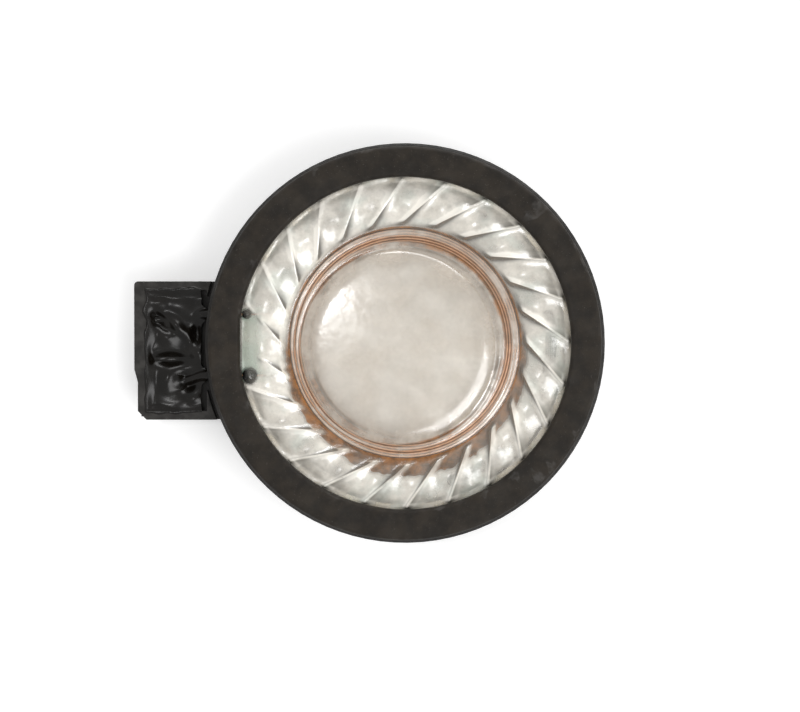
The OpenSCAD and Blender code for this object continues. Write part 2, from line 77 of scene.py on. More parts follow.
def smooth_step(value: float, low: float, high: float) -> float:
    """Rises smoothly from 0 at a low length to 1 at a high one."""
    share = min(1.0, max(0.0, (value - low) / (high - low)))
    return share * share * (3.0 - 2.0 * share)


@dataclass(frozen=True)
class Fade:
    """A smooth step across an edge, from 0 to 1."""

    start: float
    end: float

    def at(self, value: float, edge: float = 0.0) -> float:
        """Gives the step's share at a length, for an edge at another."""
        return smooth_step(value, edge + self.start, edge + self.end)


@dataclass(frozen=True)
class Waver:
    """A length that wanders from place to place, by noise of a given scale."""

    middle: float
    swing: float
    scale: float
    offset: Point = (0.0, 0.0, 0.0)

    def at(self, place: Vector) -> float:
        """Gives the length at a place."""
        return self.middle + self.swing * noise.noise(place * self.scale + Vector(self.offset))


def arc_points(centre: tuple[float, float], radius: float, start: float, end: float,
               steps: int) -> Outline:
    """Places points along an arc of an outline.

    Args:
        centre: Centre of the arc, as radius and height.
        radius: Radius of the arc.
        start: Angle of the first point, in degrees.
        end: Angle of the last point, in degrees.
        steps: Number of steps between them.

    Returns:
        The points, as radius and height.
    """
    points = []
    for i in range(steps + 1):
        angle = math.radians(start + (end - start) * i / steps)
        points.append((centre[0] + radius * math.cos(angle), centre[1] + radius * math.sin(angle)))
    return points


def stand(name: str, data: bpy.types.ID) -> bpy.types.Object:
    """Makes an object and links it into the scene.

    Args:
        name: Name of the object.
        data: Its mesh, lamp or camera.

    Returns:
        The new object.
    """
    obj = bpy.data.objects.new(name, data)
    bpy.context.scene.collection.objects.link(obj)
    return obj


class Body(Enum):
    """Rigid bodies of the speaker."""

    HOUSING = "housing"
    COIL = "coil"


class Slot(Enum):
    """Materials of the speaker's pieces, by name."""

    MOULDING = "moulding"
    NICKEL = "nickel_plate"
    MAGNET = "magnet_nickel"
    COPPER = "copper_wire"
    AMBER = "amber_glue"
    FILM = "clear_film"
    BRASS = "pale_brass"
    TAPE = "adhesive_tape"
    RUBBER = "black_rubber"
    SCREEN = "screen_cloth"
    BOARD = "board_laminate"
    GOLD = "gold_plate"
    SOLDER = "solder"
    POTTING = "black_potting"
    PAD = "insulating_pad"
    GLUE = "black_glue"


class Graph:
    """A shader tree being wired."""

    def __init__(self, tree: bpy.types.NodeTree) -> None:
        """Takes the tree of a material, a world or a node group."""
        self.tree = tree

    def add(self, kind: str, inputs: dict | None = None, **settings: object) -> bpy.types.Node:
        """Adds a node, with its settings, values and links.

        Args:
            kind: Type name of the node, without its ShaderNode prefix.
            inputs: Value or linked socket of each named or numbered input.
            **settings: Properties of the node.

        Returns:
            The new node.
        """
        node = self.tree.nodes.new("ShaderNode" + kind)
        for key, value in settings.items():
            setattr(node, key, value)
        self.feed(node, inputs or {})
        return node

    def feed(self, node: bpy.types.Node, inputs: dict) -> None:
        """Gives inputs of a node their values and links.

        Args:
            node: The node.
            inputs: Value or linked socket of each named or numbered input. Colours have no alpha.
        """
        for key, value in inputs.items():
            if isinstance(value, Socket):
                self.tree.links.new(value, node.inputs[key])
            elif node.inputs[key].type == "RGBA":
                node.inputs[key].default_value = (*value, 1.0)
            else:
                node.inputs[key].default_value = value

    def maths(self, operation: str, *values: object) -> Socket:
        """Adds a Math node and gives its result."""
        return self.add("Math", dict(enumerate(values)), operation=operation).outputs[0]

    def ramp(self, value: object, low: object, high: object, start: object = 0.0,
             end: object = 1.0) -> Socket:
        """Maps the values from low to high smoothly to those from start to end."""
        inputs = {0: value, 1: low, 2: high, 3: start, 4: end}
        return self.add("MapRange", inputs, interpolation_type="SMOOTHSTEP").outputs[0]

    def mix(self, share: object, first: object, second: object) -> Socket:
        """Mixes two colours by the share of the second."""
        return self.add("Mix", {0: share, 6: first, 7: second}, data_type="RGBA").outputs[2]

    def millimetres(self) -> Socket:
        """Gives the surface's own coordinates in millimetres."""
        place = self.add("TexCoord").outputs["Object"]
        return self.add("VectorMath", {0: place, "Scale": 1.0 / MM}, operation="SCALE").outputs[0]

    def noise(self, scale: object, detail: float = 3.0, stretch: Point = (1.0, 1.0, 1.0),
              roughness: float = 0.5) -> Socket:
        """Adds noise that is fixed to the surface.

        Args:
            scale: Patches of noise per millimetre.
            detail: Number of finer layers.
            stretch: Scale along each axis.
            roughness: Weight of the finer layers.

        Returns:
            The noise, about 0.5 on average.
        """
        place = self.add("VectorMath", {0: self.millimetres(), 1: stretch}, operation="MULTIPLY")
        return self.add("TexNoise", {"Vector": place.outputs[0], "Scale": scale, "Detail": detail,
                                     "Roughness": roughness}).outputs["Fac"]


@dataclass(frozen=True)
class Effect:
    """A shader node group that several finishes share."""

    name: str
    inputs: Labels
    outputs: Labels
    wire: Callable[[Graph, Given], Sockets]

    def group(self) -> bpy.types.NodeTree:
        """Builds the group once.

        Returns:
            The group's tree.
        """
        made = bpy.data.node_groups.get(self.name)
        if made:
            return made
        tree = bpy.data.node_groups.new(self.name, "ShaderNodeTree")
        for way, sockets in (("INPUT", self.inputs), ("OUTPUT", self.outputs)):
            for label, kind in sockets:
                tree.interface.new_socket(name=label, in_out=way, socket_type="NodeSocket" + kind)
        graph = Graph(tree)
        results = self.wire(graph, tree.nodes.new("NodeGroupInput").outputs)
        graph.feed(tree.nodes.new("NodeGroupOutput"), results)
        return tree

    def place(self, graph: Graph, **values: object) -> Given:
        """Places the group in a finish's tree and gives its outputs."""
        return graph.add("Group", values, node_tree=self.group()).outputs


BROAD_SHARE = 0.12
DUST_ROUGHNESS = 0.25
DUST_COLOUR = (0.52, 0.5, 0.46)


def wire_mottle(graph: Graph, given: Given) -> Sockets:
    """Varies a colour's brightness in soft patches with finer specks.

    Args:
        graph: The group's tree.
        given: The group's inputs.

    Returns:
        The varied colour.
    """
    patches = graph.noise(given["Scale"], detail=5.0, roughness=0.62)
    least = graph.maths("SUBTRACT", 1.0, given["Amount"])
    most = graph.maths("ADD", 1.0, given["Amount"])
    gain = graph.ramp(patches, low=0.32, high=0.68, start=least, end=most)
    varied = graph.add("VectorMath", {0: given["Colour"], "Scale": gain}, operation="SCALE")
    return {"Colour": varied.outputs[0]}


def wire_grain(graph: Graph, given: Given) -> Sockets:
    """Makes the height of a fine grain on broad unevenness.

    Args:
        graph: The group's tree.
        given: The group's inputs.

    Returns:
        The height, from 0 to about 2.
    """
    fine = graph.noise(given["Scale"], detail=2.0)
    broad = graph.noise(graph.maths("MULTIPLY", given["Scale"], BROAD_SHARE), detail=2.0)
    broad = graph.maths("MULTIPLY", broad, given["Unevenness"])
    return {"Height": graph.maths("ADD", fine, broad)}


def wire_wear(graph: Graph, given: Given) -> Sockets:
    """Shows a rubbed colour along raised edges, in uneven patches.

    Args:
        graph: The group's tree.
        given: The group's inputs.

    Returns:
        The worn colour.
    """
    edge = graph.ramp(graph.add("NewGeometry").outputs["Pointiness"], low=0.505, high=0.56)
    patches = graph.ramp(graph.noise(scale=2.5, detail=4.0), low=0.35, high=0.7)
    share = graph.maths("MULTIPLY", graph.maths("MULTIPLY", edge, patches), given["Amount"])
    return {"Colour": graph.mix(share, given["Colour"], given["Worn"])}


def wire_dust(graph: Graph, given: Given) -> Sockets:
    """Lays sparse pale specks on a surface.

    Args:
        graph: The group's tree.
        given: The group's inputs.

    Returns:
        The dusted colour and roughness.
    """
    specks = graph.ramp(graph.noise(scale=16.0, detail=2.0), low=0.66, high=0.74)
    haze = graph.ramp(graph.noise(scale=1.3, detail=4.0), low=0.4, high=0.75, end=0.22)
    share = graph.maths("MULTIPLY", graph.maths("MAXIMUM", specks, haze), given["Amount"])
    rise = graph.maths("MULTIPLY", share, DUST_ROUGHNESS)
    return {"Colour": graph.mix(share, given["Colour"], DUST_COLOUR),
            "Roughness": graph.maths("ADD", given["Roughness"], rise)}


def wire_handling(graph: Graph, given: Given) -> Sockets:
    """Varies a roughness as handling and wiping leave it.

    Args:
        graph: The group's tree.
        given: The group's inputs.

    Returns:
        The varied roughness.
    """
    smears = graph.noise(scale=0.9, detail=4.0, stretch=(1.0, 2.6, 1.0))
    spread = graph.maths("MULTIPLY", graph.maths("SUBTRACT", smears, 0.5), given["Spread"])
    return {"Roughness": graph.maths("ADD", given["Roughness"], spread)}


def wire_radius(graph: Graph, given: Given) -> Sockets:
    """Measures the distance from the speaker's axis.

    Args:
        graph: The group's tree.
        given: The group's inputs, of which there are none.

    Returns:
        The radius in millimetres.
    """
    inputs = {0: graph.millimetres(), 1: (1.0, 1.0, 0.0)}
    flat = graph.add("VectorMath", inputs, operation="MULTIPLY").outputs[0]
    length = graph.add("VectorMath", {0: flat}, operation="LENGTH")
    return {"Radius": length.outputs["Value"]}


COLOUR, SCALE, AMOUNT = ("Colour", "Color"), ("Scale", "Float"), ("Amount", "Float")
ROUGHNESS = ("Roughness", "Float")
MOTTLE = Effect("mottle", (COLOUR, SCALE, AMOUNT), (COLOUR,), wire_mottle)
GRAIN = Effect("grain", (SCALE, ("Unevenness", "Float")), (("Height", "Float"),), wire_grain)
WEAR = Effect("edge_wear", (COLOUR, ("Worn", "Color"), AMOUNT), (COLOUR,), wire_wear)
DUST = Effect("dust", (COLOUR, ROUGHNESS, AMOUNT), (COLOUR, ROUGHNESS), wire_dust)
HANDLING = Effect("handling", (ROUGHNESS, ("Spread", "Float")), (ROUGHNESS,), wire_handling)
RADIUS = Effect("radius", (), (("Radius", "Float"),), wire_radius)


@dataclass(frozen=True)
class Finish:
    """The finish of one material: its colour, its gloss and what time and handling did to it.

    Dust lies on every finish, and takes gloss from one that is dulled by it.
    """

    slot: Slot
    colour: Colour
    roughness: float
    metallic: float = 0.0
    ior: float = 1.5
    specular: float = 0.5
    coat: float = 0.0
    mottle: float = 0.1
    mottle_scale: float = 1.5
    grain: float = 0.002
    grain_scale: float = 14.0
    unevenness: float = 1.5
    wear: float = 0.0
    worn: Colour = (0.2, 0.19, 0.18)
    dust: float = 0.1
    dulled: bool = True
    handling: float = 0.15

    def height(self, graph: Graph) -> Socket:
        """Gives the height of the surface's relief, from 0 to about 2."""
        return GRAIN.place(graph, Scale=self.grain_scale, Unevenness=self.unevenness)["Height"]

    def tint(self, graph: Graph) -> object:
        """Gives the clean surface's colour."""
        return self.colour

    def gloss(self, graph: Graph) -> object:
        """Gives the clean surface's roughness."""
        return self.roughness

    def extras(self, graph: Graph, shader: bpy.types.Node) -> None:
        """Wires what this finish has beyond the common ones: nothing."""

    def material(self) -> bpy.types.Material:
        """Builds the material once.

        Returns:
            The material.
        """
        name = self.slot.value + "_finish"
        made = bpy.data.materials.get(name)
        if made:
            return made
        material = bpy.data.materials.new(name)
        material.use_nodes = True
        graph = Graph(material.node_tree)
        shader = material.node_tree.nodes["Principled BSDF"]
        colour = MOTTLE.place(graph, Colour=self.tint(graph), Scale=self.mottle_scale,
                              Amount=self.mottle)["Colour"]
        if self.wear:
            colour = WEAR.place(graph, Colour=colour, Worn=self.worn, Amount=self.wear)["Colour"]
        handled = HANDLING.place(graph, Roughness=self.gloss(graph), Spread=self.handling)
        dusted = DUST.place(graph, Colour=colour, Roughness=handled["Roughness"], Amount=self.dust)
        bump = graph.add("Bump", {"Strength": 1.0, "Distance": self.grain * MM,
                                  "Height": self.height(graph)})
        graph.feed(shader, {
            "Base Color": dusted["Colour"], "Normal": bump.outputs["Normal"],
            "Roughness": (dusted if self.dulled else handled)["Roughness"],
            "Metallic": self.metallic, "IOR": self.ior, "Specular IOR Level": self.specular,
            "Coat Weight": self.coat})
        self.extras(graph, shader)
        return material


@dataclass(frozen=True)
class TurnedFinish(Finish):
    """Metal with the fine concentric marks of turning or pressing."""

    ring_pitch: float = 0.09
    ring_h: float = 0.35

    def height(self, graph: Graph) -> Socket:
        """Adds rings to the grain.

        Args:
            graph: The material's tree.

        Returns:
            The height, from about 0 to about 2.
        """
        radius = RADIUS.place(graph)["Radius"]
        wobble = graph.maths("MULTIPLY", graph.noise(scale=1.2, detail=2.0), self.ring_pitch * 2.0)
        uneven = graph.maths("ADD", radius, wobble)
        turns = graph.maths("DIVIDE", uneven, self.ring_pitch / math.tau)
        rings = graph.maths("MULTIPLY", graph.maths("SINE", turns), self.ring_h)
        return graph.maths("ADD", super().height(graph), rings)


@dataclass(frozen=True)
class WovenFinish(Finish):
    """Fine plain weave of thin threads, with painted shade in the holes between them."""

    thread_pitch: float = 0.075
    # painted shade: share of the thread colour that the holes keep
    hole_shade: float = 0.4

    def height(self, graph: Graph) -> Socket:
        """Gives the weave's relief.

        Args:
            graph: The material's tree.

        Returns:
            The height, from 0 in the holes to 1 on the threads.
        """
        parts = graph.add("SeparateXYZ", {0: graph.millimetres()})
        waves = []
        for axis in ("X", "Y"):
            turns = graph.maths("DIVIDE", parts.outputs[axis], self.thread_pitch / math.pi)
            waves.append(graph.maths("ABSOLUTE", graph.maths("SINE", turns)))
        return graph.maths("MAXIMUM", *waves)

    def tint(self, graph: Graph) -> Socket:
        """Paints shade into the holes between the threads."""
        dark = tuple(self.hole_shade * c for c in self.colour)
        return graph.mix(graph.ramp(self.height(graph), low=0.45, high=0.85), dark, self.colour)


@dataclass(frozen=True)
class FilmFinish(Finish):
    """Thin clear film, milky in places, with painted shade darkening its colour on its steep rib
    flanks.

    Each of milk_patches is a noise's scale, detail and roughness and how far it sways the milk.
    """

    # painted shade: the near black colour that the film takes on its steep rib flanks
    painted_flank_shade: Colour = (0.13, 0.12, 0.1)
    flank_haze: float = 0.85
    dome_roughness: float = 0.17
    edge_haze: float = 0.2
    dome_tint: Colour = (0.68, 0.6, 0.5)
    cool: Colour = (0.7, 0.8, 0.72)
    cool_share: float = 0.42
    dent: float = 4.0
    dent_scale: float = 1.4
    milk_patches: tuple[tuple[float, float, float, float], ...] = (
        (0.9, 5.0, 0.5, 0.38), (4.0, 3.0, 0.55, 0.1))

    def shares(self, graph: Graph, name: str) -> Socket:
        """Reads one of the film's own maps."""
        return graph.add("Attribute", attribute_name=name).outputs["Fac"]

    def height(self, graph: Graph) -> Socket:
        """Adds broad dents to the grain outside the dome.

        Args:
            graph: The material's tree.

        Returns:
            The height, from 0 to about 6.
        """
        inside = graph.maths("MULTIPLY", self.shares(graph, DOME_MAP), self.dent)
        outside = graph.maths("SUBTRACT", self.dent, inside)
        dents = graph.maths("MULTIPLY", graph.noise(self.dent_scale), outside)
        return graph.maths("ADD", super().height(graph), dents)

    def tint(self, graph: Graph) -> Socket:
        """Cools the colour in patches, warms it over the dome and paints shade on the steep rib
        flanks.

        Args:
            graph: The material's tree.

        Returns:
            The colour.
        """
        patches = graph.ramp(graph.noise(scale=1.1), low=0.45, high=0.7, end=self.cool_share)
        clean = graph.mix(patches, self.colour, self.cool)
        clean = graph.mix(self.shares(graph, DOME_MAP), clean, self.dome_tint)
        # painted shade: the colour is darkened towards near black where the rib flanks are steep
        painted_flank_shade = graph.ramp(self.shares(graph, FLANK_MAP), low=0.06, high=0.32)
        return graph.mix(painted_flank_shade, clean, self.painted_flank_shade)

    def gloss(self, graph: Graph) -> Socket:
        """Gives the dome a roughness of its own."""
        dome = self.shares(graph, DOME_MAP)
        return graph.ramp(dome, low=0.0, high=1.0, start=self.roughness, end=self.dome_roughness)

    def extras(self, graph: Graph, shader: bpy.types.Node) -> None:
        """Makes the film see-through, less so where it is milky or seen on edge.

        Args:
            graph: The material's tree.
            shader: The material's shader.
        """
        total = self.shares(graph, MILK_MAP)
        for scale, detail, roughness, spread in self.milk_patches:
            patches = graph.ramp(graph.noise(scale, detail, roughness=roughness), low=0.35,
                                 high=0.65, start=1.0 - spread, end=1.0 + spread)
            total = graph.maths("MULTIPLY", total, patches)
        edge = graph.add("LayerWeight", {"Blend": 0.5}).outputs["Facing"]
        for share, haze in ((self.shares(graph, FLANK_MAP), self.flank_haze),
                            (edge, self.edge_haze)):
            total = graph.maths("ADD", total, graph.maths("MULTIPLY", share, haze))
        graph.feed(shader, {"Alpha": graph.add("Clamp", {0: total}).outputs[0]})


MOULDING = Finish(Slot.MOULDING, (0.012, 0.0105, 0.009), 0.55, specular=0.3, mottle=0.12,
                  grain=0.004, grain_scale=11.0, wear=0.5, worn=(0.06, 0.056, 0.052), dust=0.02,
                  handling=0.06)
NICKEL = TurnedFinish(Slot.NICKEL, (0.8, 0.77, 0.71), 0.42, metallic=1.0, mottle=0.06,
                      grain=0.0012, dust=0.04)
MAGNET = Finish(Slot.MAGNET, (0.6, 0.6, 0.58), 0.42, metallic=1.0, grain=0.004, wear=0.4,
                worn=(0.3, 0.29, 0.28), dust=0.06)
COPPER = Finish(Slot.COPPER, (0.62, 0.37, 0.22), 0.5, metallic=0.7, specular=0.3, mottle=0.14,
                mottle_scale=2.5, grain=0.0008, dust=0.02)
AMBER = Finish(Slot.AMBER, (0.25, 0.098, 0.02), 0.4, specular=0.15, mottle=0.55, mottle_scale=2.6,
               grain=0.004, grain_scale=4.0, dust=0.02)
FILM = FilmFinish(Slot.FILM, (0.98, 0.93, 0.83), 0.24, ior=2.0, specular=1.0, mottle=0.06,
                  mottle_scale=0.8, grain=0.008, grain_scale=2.2, dulled=False, handling=0.12)
BRASS = TurnedFinish(Slot.BRASS, (0.82, 0.74, 0.58), 0.3, metallic=0.9, mottle=0.08,
                     grain=0.001, wear=0.3, worn=(0.9, 0.86, 0.76), dust=0.05)
TAPE = Finish(Slot.TAPE, (0.62, 0.6, 0.52), 0.5, dust=0.2)
RUBBER = Finish(Slot.RUBBER, (0.016, 0.012, 0.008), 0.62, specular=0.25, mottle=0.4,
                mottle_scale=1.1, grain=0.006, grain_scale=9.0, wear=0.35,
                worn=(0.11, 0.105, 0.1), dust=0.05)
SCREEN = WovenFinish(Slot.SCREEN, (0.86, 0.85, 0.8), 0.7, mottle=0.08, grain=0.01, dust=0.05)
BOARD = Finish(Slot.BOARD, (0.014, 0.017, 0.015), 0.3, coat=0.3, mottle=0.15, dust=0.08)
GOLD = Finish(Slot.GOLD, (0.9, 0.66, 0.3), 0.22, metallic=1.0, mottle=0.08, grain=0.001, wear=0.4,
              worn=(0.78, 0.74, 0.66), dust=0.04)
SOLDER = Finish(Slot.SOLDER, (0.68, 0.68, 0.7), 0.22, metallic=1.0, mottle=0.12, grain=0.003,
                dust=0.02)
POTTING = Finish(Slot.POTTING, (0.004, 0.003, 0.002), 0.24, specular=0.33, mottle=0.3,
                 grain_scale=3.0, dust=0.03)
PAD = Finish(Slot.PAD, (0.72, 0.93, 0.76), 0.4, mottle=0.08, dust=0.06)
GLUE = Finish(Slot.GLUE, (0.012, 0.012, 0.011), 0.14, coat=0.6, mottle=0.2, dust=0.04)


class Form:
    """A mesh being shaped, in millimetres."""

    def __init__(self) -> None:
        """Starts empty."""
        self.bm = bmesh.new()

    @classmethod
    def of_node(cls, node: str) -> "Form":
        """Copies a solid's mesh and merges its loose triangles.

        Args:
            node: Name of the solid.

        Returns:
            The copy.
        """
        form = cls()
        bm = form.bm
        bm.from_mesh(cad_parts[node].data)
        bmesh.ops.scale(bm, vec=(1.0 / MM,) * 3, verts=bm.verts)
        bmesh.ops.remove_doubles(bm, verts=bm.verts, dist=MERGE)
        bmesh.ops.dissolve_limit(bm, angle_limit=FLAT, verts=bm.verts, edges=bm.edges)
        return form

    def revolve(self, outline: Outline, steps: int, closed: bool = True) -> None:
        """Spins an outline once round the speaker's axis.

        Args:
            outline: Points as radius and height.
            steps: Number of steps round.
            closed: Whether the outline's last point joins its first.
        """
        bm = self.bm
        verts = [bm.verts.new((r, 0.0, z)) for r, z in outline]
        ends = verts[1:] + verts[:1] if closed else verts[1:]
        edges = [bm.edges.new(pair) for pair in zip(verts, ends)]
        bmesh.ops.spin(bm, geom=verts + edges, cent=(0, 0, 0), axis=(0, 0, 1), angle=math.tau,
                       steps=steps, use_merge=True)
        bmesh.ops.remove_doubles(bm, verts=bm.verts, dist=MERGE)
        bmesh.ops.recalc_face_normals(bm, faces=bm.faces)

    def warp(self, moved: Callable[[Vector], Vector]) -> None:
        """Moves every point by a rule that gives its new place from its old one."""
        for vert in self.bm.verts:
            vert.co = moved(vert.co)

    def fill_holes(self) -> None:
        """Closes every open loop of edges."""
        bmesh.ops.holes_fill(self.bm, edges=[e for e in self.bm.edges if e.is_boundary])

    def show(self, name: str) -> bpy.types.Object:
        """Puts the form in the scene, in metres.

        Args:
            name: Name of the object.

        Returns:
            The new object.
        """
        bmesh.ops.scale(self.bm, vec=(MM,) * 3, verts=self.bm.verts)
        mesh = bpy.data.meshes.new(name)
        self.bm.to_mesh(mesh)
        self.bm.free()
        return stand(name, mesh)

    def piece(self, name: str, finish: Finish, body: Body | None = Body.HOUSING,
              replaces: Sequence[str] = (), crease: float = 35.0,
              ease: float = 0.0) -> bpy.types.Object:
        """Turns the form into a finished piece of the speaker.

        Args:
            name: Name of the piece.
            finish: Its finish.
            body: Body that it rides on, or None to leave it unattached.
            replaces: Solids that it stands for.
            crease: Angle in degrees above which an edge is sharp.
            ease: Width of the bevel on its sharp edges.

        Returns:
            The new object.
        """
        obj = self.show(name)
        mesh = obj.data
        mesh.shade_smooth()
        mesh.set_sharp_from_angle(angle=math.radians(crease))
        mesh.materials.append(finish.material())
        if ease:
            bevel = obj.modifiers.new("eased edges", "BEVEL")
            bevel.width = ease * MM
            bevel.segments = 2
            bevel.limit_method = "ANGLE"
            bevel.angle_limit = math.radians(crease)
            bevel.harden_normals = True
        if replaces:
            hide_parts(*replaces)
        if body:
            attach(obj, body.value)
        LOG.info("%s: %d faces", name, len(mesh.polygons))
        return obj


def dress(node: str, finish: Finish) -> None:
    """Gives a solid that stays in view its finish.

    Args:
        node: Name of the solid.
        finish: Its finish.
    """
    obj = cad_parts[node]
    obj.data.materials.clear()
    obj.data.materials.append(finish.material())
    LOG.info("%s: solid kept", node)


@dataclass
class Housing:
    """The moulded frame and the woven screen over its vents."""

    edge: float = 0.025

    def build(self) -> None:
        """Eases the frame's edges and dresses both pieces."""
        Form.of_node("frame").piece("moulded_frame", MOULDING, replaces=["frame"], ease=self.edge)
        dress("vent_screen", SCREEN)


@dataclass
class MagnetSystem:
    """The drawn yoke, the disc magnet and its top plate."""

    edge: float = 0.02

    def build(self) -> None:
        """Eases the yoke's and the plate's edges and dresses the magnet."""
        Form.of_node("yoke").piece("drawn_yoke", NICKEL, replaces=["yoke"], ease=self.edge)
        Form.of_node("top_plate").piece("pressed_plate", NICKEL, replaces=["top_plate"],
                                        ease=self.edge)
        dress("magnet", MAGNET)


@dataclass
class VoiceCoil:
    """The wound coil and the amber glue round its top."""

    inner_r: float = 4.05
    outer_r: float = 4.6
    bottom: float = 1.45
    top: float = 2.85
    wire_d: float = 0.108
    turn_steps: int = 96
    wire_sides: int = 6
    bond_gap: float = 0.012
    bond_w: float = 0.26
    bond_h: float = 0.22
    bond_steps: int = 288
    bond_creep: float = 0.54
    bond_turn: float = -85.0
    bond_waves: tuple[Waver, ...] = (Waver(0.0, 0.24, 5.0), Waver(0.0, 0.168, 13.0))
    bond_slice: float = 0.3
    bond_least: float = 0.12
    seam_gap: float = 0.005
    seam_w: float = 0.17
    seam_steps: int = 240
    fillet_steps: int = 6

    @property
    def seam_r(self) -> float:
        """Inner radius of the glue inside the winding."""
        return self.inner_r - self.seam_w

    def winding(self) -> None:
        """Winds each layer as one helix."""
        layers = round((self.outer_r - self.inner_r) / self.wire_d)
        turns = int((self.top - self.bottom) / self.wire_d) - 1
        pitch = (self.top - self.bottom - self.wire_d) / turns
        spacing = (self.outer_r - self.inner_r - self.wire_d) / (layers - 1)
        form = Form()
        bm = form.bm
        for layer in range(layers):
            radius = self.inner_r + self.wire_d / 2 + spacing * layer
            ring = bmesh.ops.create_circle(bm, cap_ends=False, radius=self.wire_d / 2,
                                           segments=self.wire_sides)["verts"]
            place = Matrix.Translation((radius, 0.0, self.bottom + self.wire_d / 2))
            upright = Matrix.Rotation(math.pi / 2, 4, "X")
            bmesh.ops.transform(bm, matrix=place @ upright, verts=ring)
            edges = list({e for v in ring for e in v.link_edges})
            bmesh.ops.spin(bm, geom=ring + edges, cent=(0, 0, 0), axis=(0, 0, 1), angle=math.tau,
                           dvec=(0, 0, pitch / self.turn_steps), steps=self.turn_steps)
        turn = bm.verts[:] + bm.edges[:] + bm.faces[:]
        for i in range(1, turns):
            copy = bmesh.ops.duplicate(bm, geom=turn)["geom"]
            bmesh.ops.translate(bm, vec=(0, 0, pitch * i),
                                verts=[g for g in copy if isinstance(g, bmesh.types.BMVert)])
        bmesh.ops.remove_doubles(bm, verts=bm.verts, dist=MERGE)
        form.fill_holes()
        bmesh.ops.recalc_face_normals(bm, faces=bm.faces)
        form.piece("coil_winding", COPPER, Body.COIL, ["voice_coil"], crease=80.0)

    def bond_reach(self, angle: float) -> float:
        """Gives the glue's outer radius.

        Args:
            angle: Angle round the axis.

        Returns:
            The radius.
        """
        grow = self.bond_creep * math.cos(angle - math.radians(self.bond_turn))
        around = Vector((math.cos(angle), math.sin(angle), self.bond_slice))
        grow -= sum(abs(wave.at(around)) for wave in self.bond_waves)
        return self.outer_r + max(self.bond_w + grow, self.bond_least)

    def fillet(self, side: float) -> Outline:
        """Gives the outline of a glue fillet that is as wide as high, in shares of its size.

        Args:
            side: 1 for the fillet outside the coil, -1 for the one inside.

        Returns:
            The outline as a share of the width and a share of the height.
        """
        points = [(0.0, 0.0), (0.0, -1.0)]
        for i in range(1, self.fillet_steps + 1):
            angle = math.radians(90 / self.fillet_steps * i)
            points.append((side * (1 - math.cos(angle)), math.sin(angle) - 1))
        return points

    def crept(self, place: Vector) -> Vector:
        """Moves a point of the outer fillet with the glue's creep.

        Args:
            place: The point on the even fillet.

        Returns:
            Its place on the crept one.
        """
        inner = self.outer_r + self.bond_gap
        radius = math.hypot(place.x, place.y)
        share = (radius - inner) / self.bond_w
        new = inner + share * (self.bond_reach(math.atan2(place.y, place.x)) - inner)
        return Vector((place.x * new / radius, place.y * new / radius, place.z))

    def bond(self) -> None:
        """Lays the glue fillets, the outer one wider on the side to which it has crept."""
        inner = self.outer_r + self.bond_gap
        form = Form()
        form.revolve([(inner + w * self.bond_w, self.top + h * self.bond_h)
                      for w, h in self.fillet(1.0)], self.bond_steps)
        form.warp(self.crept)
        hole = self.inner_r - self.seam_gap
        form.revolve([(hole + w * self.seam_w, self.top + h * self.seam_w)
                      for w, h in self.fillet(-1.0)], self.seam_steps)
        form.piece("glue_fillet", AMBER, Body.COIL, ["coil_bond"], crease=60.0)

    def build(self) -> None:
        """Makes the winding and its glue."""
        self.winding()
        self.bond()


